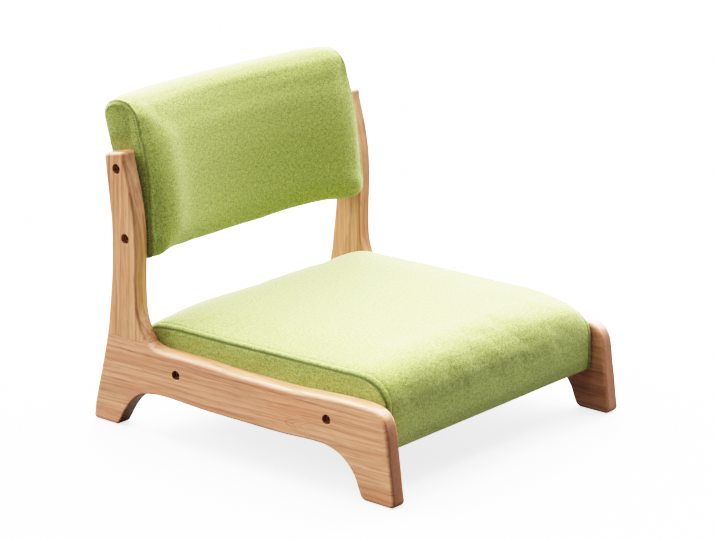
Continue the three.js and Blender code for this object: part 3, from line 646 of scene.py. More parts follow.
def board(side):
    s = -1 if side == "left" else 1
    p = board_outline()
    n = len(p)
    t = np.roll(p, -1, axis=0) - np.roll(p, 1, axis=0)
    t /= np.linalg.norm(t, axis=1)[:, None]
    inward = np.stack([-t[:, 1], t[:, 0]], axis=1)
    r_out = round_over(p)
    r_in = round_over(p, inner=True)
    steps = 7
    loops = []
    for face in (0, 1):
        r = r_out if (face == 0) == (s < 0) else r_in
        th = np.linspace(0, math.pi / 2, steps)
        seq = th[::-1] if face == 0 else th
        for a in seq:
            q = p + inward * (r * (1 - math.cos(a)))[:, None]
            x = (r * (1 - math.sin(a)))
            x = -11 + x if face == 0 else 11 - x
            loops.append(np.column_stack([x, q]))
    verts = np.vstack(loops)
    faces = []
    for i in range(len(loops) - 1):
        for j in range(n):
            k = (j + 1) % n
            faces.append((i * n + j, i * n + k, (i + 1) * n + k, (i + 1) * n + j))
    faces.append(tuple(range(n))[::-1])
    last = (len(loops) - 1) * n
    faces.append(tuple(range(last, last + n)))
    verts[:, 0] += s * 219.0
    ob = mesh_object(f"{side}_board_blank", to_row(verts), faces)
    outward(ob)
    # counterbores, bolt holes and dowel holes
    cv, cf = [], []

    def add_cutter(v, f):
        o = sum(len(a) for a in cv)
        cv.append(v)
        cf.extend([[o + i for i in q] for q in f])

    for name, (y, z) in BOLTS.items():
        prof = [(0, -11.5), (3.4, -11.5), (3.4, -0.6), (3.9, 0.0), (6.1, 0.0), (6.3, 0.2), (6.3, 11.35), (6.42, 11.7), (6.75, 12.03), (7.4, 12.6), (0, 12.6)]
        v, f = lathe([(a, b) for a, b in prof], 48)
        add_cutter(along_x(v, s, HALF - 12.0, y, z), f)
    for y in (184.0, 213.0):
        v, f = lathe([(0, -20.3), (4.3, -20.3), (4.3, 20.3), (0, 20.3)], 24)
        v = v + np.array([s * 219.0, y, JOINT_Z])
        add_cutter(v, f)
    cutter = mesh_object("cutter", to_row(np.vstack(cv)), cf)
    outward(cutter)
    m = ob.modifiers.new("holes", "BOOLEAN")
    m.operation, m.solver, m.object = "DIFFERENCE", "EXACT", cutter
    baked(ob)
    bpy.data.objects.remove(cutter)
    made = {}
    for part, keep_low, z in (("side_frame", True, JOINT_Z - 0.15), ("upright", False, JOINT_Z + 0.15)):
        bm = bmesh.new()
        bm.from_mesh(ob.data)
        geom = bm.verts[:] + bm.edges[:] + bm.faces[:]
        cut = bmesh.ops.bisect_plane(bm, geom=geom, plane_co=(0, 0, z / 1000), plane_no=(0, 0, 1), clear_outer=keep_low, clear_inner=not keep_low)
        edges = [e for e in cut["geom_cut"] if isinstance(e, bmesh.types.BMEdge)]
        res = bmesh.ops.triangle_fill(bm, use_beauty=True, use_dissolve=True, edges=edges)
        bmesh.ops.recalc_face_normals(bm, faces=bm.faces)
        me = bpy.data.meshes.new(f"{side}_{part}_wood")
        bm.to_mesh(me)
        bm.free()
        o = bpy.data.objects.new(f"{side}_{part}_wood", me)
        bpy.context.scene.collection.objects.link(o)
        sharp_by_angle(o, 34)
        weighted(o)
        me.materials.append(M[("left" if s < 0 else "right") + ("_rail" if keep_low else "_up")])
        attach(o, "root")
        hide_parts(f"{side}_{part}")
        made[part] = o
    bpy.data.objects.remove(ob)
    return made


boards = {side: board(side) for side in ("left", "right")}


# ------------------------------------------------------------------ bolts and washers
def bolt_head():
    """Socket head bolt round local +Z: washer face at 0, shank below."""
    prof = [(0, -30), (2.4, -30), (3.0, -29.3), (3.0, -0.5), (3.25, 0.0), (4.75, 0.0), (5.0, 0.25), (5.0, 5.1), (4.93, 5.5), (4.72, 5.83), (4.4, 6.0), (3.45, 6.0)]
    sides = 48
    verts, rows = [], []
    for r, h in prof:
        if r == 0:
            rows.append([len(verts)] * sides)
            verts.append((0, 0, h))
        else:
            rows.append(list(range(len(verts), len(verts) + sides)))
            for k in range(sides):
                a = 2 * math.pi * k / sides
                rr = r
                if r == 5.0 and h > 1:
                    rr = r
                verts.append((rr * math.cos(a), rr * math.sin(a), h))

    def hexagon(ap, h):
        row = list(range(len(verts), len(verts) + sides))
        for k in range(sides):
            a = 2 * math.pi * k / sides
            w = (a + math.pi / 6) % (math.pi / 3) - math.pi / 6
            rr = ap / math.cos(w)
            verts.append((rr * math.cos(a), rr * math.sin(a), h))
        return row
    rows.append(hexagon(2.72, 5.92))
    rows.append(hexagon(2.5, 5.6))
    rows.append(hexagon(2.5, 2.9))
    rows.append(hexagon(1.2, 2.6))
    c = len(verts)
    verts.append((0, 0, 2.2))
    faces = []
    for a, b in zip(rows[:-1], rows[1:]):
        for k in range(sides):
            k2 = (k + 1) % sides
            f = [a[k], a[k2], b[k2], b[k]]
            f = [x for j, x in enumerate(f) if x not in f[:j]]
            if len(f) > 2:
                faces.append(f)
    for k in range(sides):
        faces.append([rows[-1][k], rows[-1][(k + 1) % sides], c])
    return np.array(verts, float), faces


bv, bf = bolt_head()
wv_, wf_ = lathe([(3.4, 0.06), (3.46, 0), (5.7, 0), (5.8, 0.12), (5.8, 0.85), (5.68, 1.0), (3.5, 1.0), (3.4, 0.9), (3.4, 0.06)], 48)
turn = 0
for side, s in (("left", -1), ("right", 1)):
    for name, (y, z) in BOLTS.items():
        turn += 1
        a = 0.37 * turn
        R = np.array([[math.cos(a), -math.sin(a), 0], [math.sin(a), math.cos(a), 0], [0, 0, 1]])
        o = mesh_object(f"{side}_{name}_bolt_metal", to_row(along_x(bv @ R.T, s, 219.4, y, z)), bf, [M["bolt"]])
        outward(o)
        sharp_by_angle(o, 38)
        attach(o, "root"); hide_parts(f"{side}_{name}_bolt")
        o = mesh_object(f"{side}_{name}_washer_steel", to_row(along_x(wv_, s, 218.2, y, z)), wf_, [M["zinc"]])
        outward(o)
        sharp_by_angle(o, 38)
        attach(o, "root"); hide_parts(f"{side}_{name}_washer")


def finish_node(node, mat):
    ob = N[node]
    ob.data.materials.clear()
    ob.data.materials.append(mat)


for side in ("left", "right"):
    for name in BOLTS:
        finish_node(f"{side}_{name}_insert", M["zinc"])
    for d in ("front_dowel", "rear_dowel"):
        finish_node(f"{side}_{d}", M["pine_z"])
for n_ in ("seat_front_rail", "seat_rear_rail", "seat_centre_brace"):
    finish_node(n_, M["pine_x"])
for n_ in ("seat_left_rail", "seat_right_rail"):
    finish_node(n_, M["pine_y"])
for n_ in ("back_left_block", "back_right_block"):
    # the ends of the finished back slant, so the block inside each ends a little sooner than its solid
    src = N[n_]
    bv_ = np.array([tuple(src.matrix_world @ q.co) for q in src.data.vertices])
    bv_[:, 0] = np.clip(bv_[:, 0], -0.2013, 0.2013)
    o = mesh_object(n_ + "_pine", bv_, [tuple(f.vertices) for f in src.data.polygons], [M["pine_z"]])
    sharp_by_angle(o, 30)
    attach(o, "root"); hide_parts(n_)
finish_node("seat_deck", M["deck"])
finish_node("back_core", M["core"])

# ------------------------------------------------------------------ cushions
def stations(fine, step):
    """x positions across a cushion, closer together beside the end seams."""
    d = [0, 0.7, 1.4, 2.2, 3.2, 4.2, 5.2, 6.2, 7.4, 9.0, 11.0, 13.4, 16.2, 19.2] if fine else [0, 5.2, 11, 17]
    inner = PAD - d[-1]
    n = max(2, int(round(2 * inner / step)))
    mid = np.linspace(-inner, inner, n + 1)[1:-1]
    d = np.array(d, float)
    return np.concatenate([-PAD + d, mid, (PAD - d)[::-1]])


class Cushion:
    """A box cushion: one strip goes round (front, top, rear, bottom) and two panels close its ends.
    segs are the strip's four side-view paths (y, z), mm; shape(x, y, z, u, out) moves the strip's points."""

    def __init__(self, segs, counts, xs, shape, panel_shape):
        m, n = counts
        self.m, self.n = m, n
        parts = [spaced(np.array(g, float), c)[:-1] for g, c in zip(segs, (m, n, m, n))]
        self.loop = np.vstack(parts)
        self.NL = len(self.loop)
        self.u = np.concatenate([np.arange(c) / c + k for k, c in enumerate((m, n, m, n))])
        nxt, prv = np.roll(self.loop, -1, axis=0), np.roll(self.loop, 1, axis=0)
        t = nxt - prv
        t /= np.linalg.norm(t, axis=1)[:, None]
        self.out = np.stack([t[:, 1] * -1, t[:, 0]], axis=1)        # strip runs front-up, top-back, rear-down: outward is to the left
        self.s = np.concatenate([[0], np.cumsum(np.linalg.norm(nxt - self.loop, axis=1))])
        self.xs = xs
        X, U = np.meshgrid(xs, self.u)
        Y, Z = np.meshgrid(xs, self.loop[:, 0])[1], np.meshgrid(xs, self.loop[:, 1])[1]
        O = np.repeat(self.out[:, None, :], len(xs), axis=1)
        self.W = shape(X, Y, Z, U, O)                                # NL x K x 3
        self.P = []
        for side in (0, 1):
            self.P.append(panel_shape(self.coons(self.W[:, 0 if side == 0 else -1]), -1 if side == 0 else 1))

    def coons(self, edge):
        m, n, NL = self.m, self.n, self.NL
        b = np.arange(m + 1)
        a = np.arange(n + 1)
        left, right = edge[b], edge[(2 * m + n - b) % NL]
        top, bot = edge[m + a], edge[(2 * m + 2 * n - a) % NL]
        A, B = (a / n)[:, None, None], (b / m)[None, :, None]
        g = (1 - A) * left[None] + A * right[None] + (1 - B) * bot[:, None] + B * top[:, None]
        g -= (1 - A) * (1 - B) * edge[0] + A * (1 - B) * right[0] + (1 - A) * B * top[0] + A * B * top[-1]
        return g

    def normals(self):
        W = self.W
        du = np.roll(W, -1, axis=0) - np.roll(W, 1, axis=0)
        dv = np.gradient(W, self.xs, axis=1)
        nrm = np.cross(dv, du)
        nrm /= np.linalg.norm(nrm, axis=2)[:, :, None]
        k = len(self.xs) // 2
        if (nrm[self.m + self.n // 2, k, 2]) < 0:
            nrm = -nrm
        return nrm

    def mesh(self, name, mats, weave=True, crease_shade=None, panel_crease_shade=None):
        NL, K, m, n = self.NL, len(self.xs), self.m, self.n
        verts = [self.W.reshape(-1, 3)]
        faces, uv = [], []
        idx = np.arange(NL * K).reshape(NL, K)
        for i in range(NL):
            i2 = (i + 1) % NL
            s0, s1 = self.s[i], self.s[i + 1]
            for j in range(K - 1):
                faces.append((idx[i, j], idx[i, j + 1], idx[i2, j + 1], idx[i2, j]))
                uv += [(self.xs[j], s0), (self.xs[j + 1], s0), (self.xs[j + 1], s1), (self.xs[j], s1)]
        base = NL * K
        for side in (0, 1):
            G = self.P[side]
            gi = np.full((n + 1, m + 1), -1)
            col = 0 if side == 0 else K - 1
            for b in range(m + 1):
                gi[0, b] = idx[b, col]
                gi[n, b] = idx[(2 * m + n - b) % NL, col]
            for a in range(n + 1):
                gi[a, m] = idx[m + a, col]
                gi[a, 0] = idx[(2 * m + 2 * n - a) % NL, col]
            inner = G[1:n, 1:m].reshape(-1, 3)
            gi[1:n, 1:m] = base + np.arange(len(inner)).reshape(n - 1, m - 1)
            base += len(inner)
            verts.append(inner)
            for a in range(n):
                for b in range(m):
                    q = [(a, b), (a + 1, b), (a + 1, b + 1), (a, b + 1)]
                    if side == 1:
                        q = q[::-1]
                    faces.append(tuple(gi[c] for c in q))
                    uv += [(G[c][1] + 700 * (side + 1), G[c][2]) for c in q]
        V = np.vstack(verts)
        ob = mesh_object(name, to_row(V), faces, mats)
        if weave:
            at = ob.data.attributes.new("weave", "FLOAT_VECTOR", "CORNER")
            c = np.zeros((len(uv), 3))
            c[:, :2] = np.array(uv) / 1000.0
            at.data.foreach_set("vector", c.ravel())
        # painted shade along the seams, stored per point for the cloth material
        if crease_shade is not None:
            at = ob.data.attributes.new("crease_shade", "FLOAT", "POINT")
            f = [crease_shade.reshape(-1)]
            for side in (0, 1):
                f.append(panel_crease_shade(self.P[side])[1:n, 1:m].reshape(-1) if panel_crease_shade else np.zeros((n - 1) * (m - 1)))
            at.data.foreach_set("value", np.concatenate(f))
        return ob

    def settle(self, pin_strip, pin_panel, pressure, frames=20, cap=8.0, grow=0.0):
        """Blows the cushion up as cloth and returns how far each point moved, mm: (strip, [panels])."""
        ob = self.mesh("sim_cushion", (), weave=False)
        g = ob.vertex_groups.new(name="pin")
        w = [pin_strip.reshape(-1)] + [pin_panel(self.P[s])[1:self.n, 1:self.m].reshape(-1) for s in (0, 1)]
        w = np.concatenate(w)
        for k in range(21):
            ids = np.nonzero(np.round(w * 20) == k)[0]
            if len(ids) and k:
                g.add([int(i) for i in ids], k / 20, "REPLACE")
        me0 = np.array([v.co for v in ob.data.vertices])
        c = ob.modifiers.new("cloth", "CLOTH")
        st = c.settings
        st.quality = 6
        st.mass = 0.25
        st.tension_stiffness = st.compression_stiffness = 25
        st.shear_stiffness = 10
        st.bending_stiffness = 0.6
        st.use_pressure = True
        st.uniform_pressure_force = pressure
        st.effector_weights.gravity = 0.0
        st.vertex_group_mass = "pin"
        st.pin_stiffness = 2.0
        st.shrink_min = -grow
        c.point_cache.frame_start, c.point_cache.frame_end = 1, frames
        sc = bpy.context.scene
        for f in range(1, frames + 1):
            sc.frame_set(f)
        dg = bpy.context.evaluated_depsgraph_get()
        ev = ob.evaluated_get(dg).data
        me1 = np.array([v.co for v in ev.vertices])
        sc.frame_set(1)
        bpy.data.objects.remove(ob)
        d = (me1 - me0) * 1000.0
        L = np.linalg.norm(d, axis=1)
        L[L < 1e-9] = 1e-9
        d *= (cap * np.tanh(L / cap) / L)[:, None]
        n0 = self.NL * len(self.xs)
        strip = d[:n0].reshape(self.NL, len(self.xs), 3)
        panels, at = [], n0
        for s in (0, 1):
            e = self.coons(strip[:, 0 if s == 0 else -1])
            k = (self.n - 1) * (self.m - 1)
            e[1:self.n, 1:self.m] = d[at:at + k].reshape(self.n - 1, self.m - 1, 3)
            at += k
            panels.append(e)
        return strip, panels


def carry(coarse, fine, strip, panels):
    """The coarse cushion's movement at the fine cushion's points."""
    ui = np.interp(fine.u, np.append(coarse.u, 4.0), np.arange(coarse.NL + 1))
    xi = np.interp(fine.xs, coarse.xs, np.arange(len(coarse.xs)))
    ext = np.concatenate([strip, strip[:1]])
    i, j = np.minimum(ui.astype(int), coarse.NL - 1), np.minimum(xi.astype(int), len(coarse.xs) - 2)
    f, h = (ui - i)[:, None, None], (xi - j)[None, :, None]
    I, J = np.ix_(i, j)
    S = (ext[I, J] * (1 - f) + ext[I + 1, J] * f) * (1 - h) + (ext[I, J + 1] * (1 - f) + ext[I + 1, J + 1] * f) * h
    out = []
    for s in (0, 1):
        e = panels[s]
        a = np.linspace(0, coarse.n, fine.n + 1)
        b = np.linspace(0, coarse.m, fine.m + 1)
        i, j = np.minimum(a.astype(int), coarse.n - 1), np.minimum(b.astype(int), coarse.m - 1)
        f, h = (a - i)[:, None, None], (b - j)[None, :, None]
        I, J = np.ix_(i, j)
        out.append((e[I, J] * (1 - f) + e[I + 1, J] * f) * (1 - h) + (e[I, J + 1] * (1 - f) + e[I + 1, J + 1] * f) * h)
    return S, out


def seam_relief(C, line, pucker, seed, sew):
    """Outward relief, mm, of the strip beside its end seams: groove, turned-in allowance, topstitch and puckers.
    Without sew the seam is a plain ridge: its topstitch is on the end panel."""
    X = np.repeat(C.xs[None], C.NL, axis=0)
    s = np.repeat(C.s[:-1, None], len(C.xs), axis=1)
    h = np.zeros_like(X)
    crease_shade = np.zeros_like(X)
    for side in (-1, 1):
        d = PAD - side * X
        wav = 0.35 * wobble(s, 60, seed + 3 + side)
        dd = np.maximum(d + wav * smooth(d / 2) * (d < 9), 0)
        if sew:
            groove = -1.15 * np.exp(-(dd / 0.95) ** 2)
            flange = 0.8 * np.exp(-((dd - 0.5 * sew) / (0.3 * sew)) ** 2)
            stitch = -0.62 * np.exp(-((dd - sew) / 0.8) ** 2) * (0.75 + 0.25 * np.cos(2 * math.pi * s / 3.6))
        else:
            groove, flange, stitch = -0.35 * np.exp(-(dd / 0.7) ** 2), 0.8 * np.exp(-((dd - 1.9) / 1.3) ** 2), 0.0
        puck = np.exp(-np.maximum(dd - 1, 0) / 7.5) * smooth(dd / 1.6)
        p = wobble(s, 7.5, seed + 11 + side, 2) + 0.5 * wobble(s, 17, seed + 23 + side, 1)
        h += (groove + (flange + stitch) * line + puck * p * pucker)
        # painted shade along the seam groove and the topstitch
        crease_shade = np.maximum(crease_shade, np.exp(-(dd / 1.45) ** 2) + 0.42 * np.exp(-((dd - sew) / 0.8) ** 2) * line if sew else 0.35 * np.exp(-(dd / 0.7) ** 2))
    return h, crease_shade


def panel_relief(C, G, side, depth=0.8):
    """Distance, mm, from each end panel point to the nearest point of the strip's end."""
    edge = np.concatenate([C.loop, C.loop[:1]])
    y, z = G[..., 1], G[..., 2]
    best = np.full(y.shape, 1e9)
    for a in range(0, C.NL):
        dy, dz = y - C.W[a, 0 if side < 0 else -1, 1], z - C.W[a, 0 if side < 0 else -1, 2]
        best = np.minimum(best, dy * dy + dz * dz)
    d = np.sqrt(best)
    return d


def stitches(name, C, column, ranges, pitch, length, radius, lift, mat, seed, inset=None):
    """Sewn stitches along one column of the strip, or this far inside the border of the end panels: short thread humps
    whose ends dive into the cloth."""
    verts, faces = [], []
    nrm = C.normals()
    for side in (-1, 1):
        j = column if side < 0 else len(C.xs) - 1 - column
        path, no = C.W[:, j], nrm[:, j]
        if inset is not None:
            path = path.copy()
            path[:, 1:] -= C.out * inset
            G = C.P[0 if side < 0 else 1].reshape(-1, 3)
            for i in range(len(path)):
                near = np.argsort(np.hypot(G[:, 1] - path[i, 1], G[:, 2] - path[i, 2]))[:4]
                wt = 1 / (np.hypot(G[near, 1] - path[i, 1], G[near, 2] - path[i, 2]) + 0.2)
                path[i, 0] = (G[near, 0] * wt).sum() / wt.sum()
            no = np.zeros_like(path)
            no[:, 0] = side
        s = np.concatenate([[0], np.cumsum(np.linalg.norm(np.diff(np.vstack([path, path[:1]]), axis=0), axis=1))])
        P = np.vstack([path, path[:1]])
        Q = np.vstack([no, no[:1]])
        u_of = np.append(C.u, 4.0)
        at = 1.0
        k = 0
        jit = np.random.default_rng(seed + side).random((2000, 3)) - 0.5
        while at < s[-1] - 1:
            u = np.interp(at, s, u_of)
            k += 1
            if any(a <= u <= b for a, b in ranges):
                L = length * (1 + 0.16 * jit[k, 0])
                rows = []
                for f in np.linspace(-0.5, 0.5, 7):
                    t = at + f * L
                    c = np.array([np.interp(t, s, P[:, q]) for q in range(3)])
                    n_ = np.array([np.interp(t, s, Q[:, q]) for q in range(3)])
                    n_ /= np.linalg.norm(n_)
                    t2 = np.array([np.interp(t + 0.3, s, P[:, q]) for q in range(3)]) - np.array([np.interp(t - 0.3, s, P[:, q]) for q in range(3)])
                    t2 /= np.linalg.norm(t2)
                    b_ = np.cross(n_, t2)
                    c = c + n_ * (lift * (1 - (2 * f) ** 4) - radius * 1.1 * (2 * abs(f)) ** 6) + b_ * (0.18 * jit[k, 1] + 0.35 * f * jit[k, 2])
                    r = radius * (1 - 0.45 * (2 * abs(f)) ** 3)
                    row = []
                    for q in range(8):
                        a = 2 * math.pi * q / 8
                        row.append(len(verts))
                        verts.append(c + r * (math.cos(a) * n_ + math.sin(a) * b_))
                    rows.append(row)
                for r0, r1 in zip(rows[:-1], rows[1:]):
                    for q in range(8):
                        faces.append((r0[q], r0[(q + 1) % 8], r1[(q + 1) % 8], r1[q]))
                faces.append(tuple(rows[0][::-1]))
                faces.append(tuple(rows[-1]))
            at += pitch
    ob = mesh_object(name, to_row(np.array(verts)), faces, [mat])
    at = ob.data.attributes.new("weave", "FLOAT_VECTOR", "CORNER")
    co = np.array([v.co for v in ob.data.vertices])
    li = np.array([l.vertex_index for l in ob.data.loops])
    at.data.foreach_set("vector", (co[li] * np.array([1.0, 1.0, 0.3])).ravel())
    outward(ob)
    return ob


# ---- seat
SEAT_F = [[-219.3, 57], [-221.3, 58.1], [-222.1, 60.8], [-222.1, 70], [-222.1, 99.3], [-222.5, 112], [-221.5, 121.5], [-217.4, 128.4], [-211.6, 134.6]]
SEAT_T = [[-211.6, 134.6], [-204.8, 139.5], [-196, 143.5], [-186.5, 145.8], [-174, 146.6], [-150, 146.6], [-112, 146.1], [-73, 145.4], [-20, 144.5], [33, 143.3], [87, 142.6],
          [128.8, 141.7], [148.7, 139.8], [163.6, 136.9], [175.6, 132.4], [184.6, 126.1]]
SEAT_R = [[184.6, 126.1], [190.1, 118.4], [192.8, 109.7], [193.6, 100.2], [193.6, 70], [193.6, 61], [192.8, 58.2], [190.6, 57]]
SEAT_B = [[190.6, 57], [-219.3, 57]]
_all = catmull(SEAT_F + SEAT_T[1:] + SEAT_R[1:], per=20)


def cut_path(a, b):
    i = int(np.argmin(np.linalg.norm(_all - np.array(a), axis=1)))
    j = int(np.argmin(np.linalg.norm(_all - np.array(b), axis=1)))
    return _all[i:j + 1]


SEAT_SEGS = [cut_path(SEAT_F[0], SEAT_F[-1]), cut_path(SEAT_F[-1], SEAT_T[-1]), cut_path(SEAT_T[-1], SEAT_R[-1]), np.array(SEAT_B, float)]


def seat_shape(X, Y, Z, U, O):
    v = X / PAD
    d = PAD - np.abs(X)
    up = smooth((Z - 112) / 26)
    along = smooth((Y + 226) / 60) * (1 - 0.12 * smooth((Y - 85) / 105))
    top = smooth((U - 0.75) / 0.3) * (1 - smooth((U - 1.9) / 0.25))
    face = (1 - smooth((U - 0.8) / 0.3)) * smooth((Z - 58) / 18)
    rear = smooth((U - 1.95) / 0.2) * smooth((Z - 58) / 18) * (U < 3)
    sh = 1 - np.exp(-(d / 7.0) ** 1.15)
    o = (4.6 * top + 2.4 * face + 2.4 * rear) * sh
    crown = 8.0 * (1 - np.abs(v) ** 3.0) * along * up
    crown = crown + (2.4 * np.exp(-((X + 125) / 62) ** 2) + 4.2 * smooth((X - 110) / 80)) * np.exp(-((Y - 170) / 34) ** 2) * up
    crown = crown + 2.3 * smooth((X - 70) / 110) * np.exp(-((Y - 55) / 85) ** 2) * up
    crown = crown + 1.4 * (1 - v) / 2 * smooth((74 - Z) / 14) * smooth((-150 - Y) / 40)
    # the front edge slumps towards the far end
    s = np.where(U < 1, -1.1 * np.abs(Z - 133), np.hypot(Y + 213, Z - 133))
    s = np.where((U > 2.0) | (Y > 0), 200.0, s)
    slump = np.interp(s, [-40, -30, -21, -12, 0, 15, 28, 43, 71, 90, 103], [0, 1.2, 3.2, 6.3, 9.4, 10.8, 10.0, 6.9, 2.4, 0.7, 0])
    o = o - slump * ((v + 1) / 2) ** 1.6
    o = o + np.interp(s, [-28, -22, -10, -3, 4, 11, 20, 28, 37, 50, 68, 86], [0, 0.5, 3.4, 6.4, 8.6, 9.0, 7.8, 6.0, 4.0, 1.9, 0.5, 0]) * (1 - np.abs(v) ** 6)
    P = np.stack([X, Y + O[..., 0] * o, Z + O[..., 1] * o + crown], axis=-1)
    return P


def seat_panel(G, s):
    """Side panel: flat against the board, a little proud above the rail."""
    z, y = G[..., 2], G[..., 1]
    G = G.copy()
    inside = smooth((z - 120) / 6) * smooth((145 - z) / 10) * smooth((y + 222) / 14) * smooth((190 - y) / 20)
    G[..., 0] = s * (PAD + 0.9 * inside)
    return G


SEAT_FINE = Cushion(SEAT_SEGS, (40, 156), stations(True, 3.0), seat_shape, seat_panel)
co = Cushion(SEAT_SEGS, (16, 66), stations(False, 6.4), seat_shape, seat_panel)
X = np.repeat(co.xs[None], co.NL, axis=0)
low = np.repeat(co.loop[:, 1][:, None], len(co.xs), axis=1) < 104
pin = np.where(low, 1.0, 0.0)
pin = np.where((np.abs(X) > PAD - 0.5), np.maximum(pin, 0.85), pin)
ds, dp = co.settle(pin, lambda G: np.where(G[..., 2] < 114, 1.0, 0.0), pressure=3.0, cap=6.0, grow=0.004)
SEAT_MOVE = carry(co, SEAT_FINE, ds, dp)
print("seat moved", np.abs(ds).max(axis=(0, 1)), np.percentile(np.linalg.norm(ds, axis=2), [50, 90, 99]))


def finish_cushion(C, move, share, line, pucker, seed, sew, extra=None):
    """Adds the cloth's settling and the seam relief to a fine cushion. Returns the painted seam shade of each strip
    point.
    """
    if move is not None:
        C.W = C.W + share * move[0]
        C.P = [C.P[s] + share * move[1][s] for s in (0, 1)]
        edge = [C.coons(C.W[:, 0 if s == 0 else -1]) for s in (0, 1)]
    nrm = C.normals()
    h, crease_shade = seam_relief(C, line, pucker, seed, sew)
    if extra is not None:
        h = h + extra(C)
    C.W = C.W + nrm * h[..., None]
    dist = []
    for s in (0, 1):
        # the panel's border follows the strip's, and its inside dips towards the seam
        G = C.P[s]
        e = C.coons(C.W[:, 0 if s == 0 else -1])
        d = panel_relief(C, G, -1 if s == 0 else 1)
        dist.append(d)
        w = np.exp(-(d / 2.2) ** 2)[..., None]
        G2 = G + (e - G) * w
        sgn = -1 if s == 0 else 1
        yy, zz = G[..., 1], G[..., 2]
        ridge = 0.25 * np.exp(-((d - 4.0) / 2.0) ** 2) + 0.25 * noise2(yy, zz, 16, seed + 5 + s) * smooth(d / 6)
        G2[..., 0] = sgn * np.minimum(sgn * (G2[..., 0] + sgn * ridge), PAD + (1.6 if line else 0.9))
        G2[0], G2[-1], G2[:, 0], G2[:, -1] = e[0], e[-1], e[:, 0], e[:, -1]
        C.P[s] = G2
    C.dist = dist
    return crease_shade


# painted shade on the end panels along their seams
def panel_crease_shade_of(C):
    def f(G):
        s = 0 if G is C.P[0] else 1
        return np.exp(-(C.dist[s] / 1.45) ** 2)
    return f


def seat_ripple(C):
    """Faint hollows and swellings of the padding over the front edge and the front face."""
    X = np.repeat(C.xs[None], C.NL, axis=0)
    U = np.repeat(C.u[:, None], len(C.xs), axis=1)
    s = np.repeat(C.s[:-1, None], len(C.xs), axis=1)
    zone = smooth((U - 0.12) / 0.3) * (1 - smooth((U - 1.12) / 0.18)) * smooth((PAD - np.abs(X)) / 30)
    return 0.75 * noise2(X, s, 34, 311, 2) * zone


# painted seam shade for the seat cloth
seat_crease_shade = finish_cushion(SEAT_FINE, SEAT_MOVE, 0.5, 1.0, 0.30, 101, 7.4, seat_ripple)
seat = SEAT_FINE.mesh("seat_cushion", [M["cloth"]], crease_shade=seat_crease_shade, panel_crease_shade=panel_crease_shade_of(SEAT_FINE))
outward(seat)
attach(seat, "root")
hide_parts("seat_foam", "seat_cover_main", "seat_cover_left_side", "seat_cover_right_side")
st = stitches("seat_topstitch", SEAT_FINE, 8, [(0.12, 2.85)], 3.6, 2.7, 0.30, 0.10, M["thread"], 5)
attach(st, "root")

# ---- back
BACK_END = [[169.9, 231.8], [167.4, 235], [166.7, 241.5], [166.7, 253.5], [168.5, 273.4], [169.9, 292.3], [171.7, 312.2], [173.9, 331.2], [177.2, 348.1], [182.8, 370.5], [188.9, 390.2],
            [193, 405.1], [198.3, 413.9], [206.8, 420.7], [216.8, 423.8], [226.7, 423.8], [235.7, 420.8], [242.6, 415], [246, 408], [246.6, 401.5], [244.3, 394], [241.4, 386.5],
            [236.2, 371.6], [231.2, 354], [228.3, 336.2], [226.3, 311.3], [224.8, 286.5], [223.5, 261.6], [222.5, 241.6], [221.3, 230.7], [217.6, 225.1], [211.1, 224.7], [193.2, 226.2]]
_ring = catmull(BACK_END, closed=True, per=16)


def ring_path(a, b):
    i = int(np.argmin(np.linalg.norm(_ring - np.array(a), axis=1)))
    j = int(np.argmin(np.linalg.norm(_ring - np.array(b), axis=1)))
    if j <= i:
        return np.vstack([_ring[i:], _ring[:j + 1]])
    return _ring[i:j + 1]


BACK_SEGS = [ring_path((167.6, 234.4), (194.7, 409.0)), ring_path((194.7, 409.0), (245.8, 408.6)), ring_path((245.8, 408.6), (220.4, 228.2)), ring_path((220.4, 228.2), (167.6, 234.4))]


def end_half(Z, t):
    """Half width: the ends are square to the bent back, so they stand closer together in front (t = 0) than behind."""
    front = np.interp(Z, [225, 235, 253, 278, 305, 331, 366, 399, 424], [206.6, 206.4, 206.0, 204.6, 202.6, 201.2, 200.9, 201.2, 201.0])
    return front + (PAD - 2.0 * smooth((Z - 366) / 34) - front) * smooth(t * 1.15)


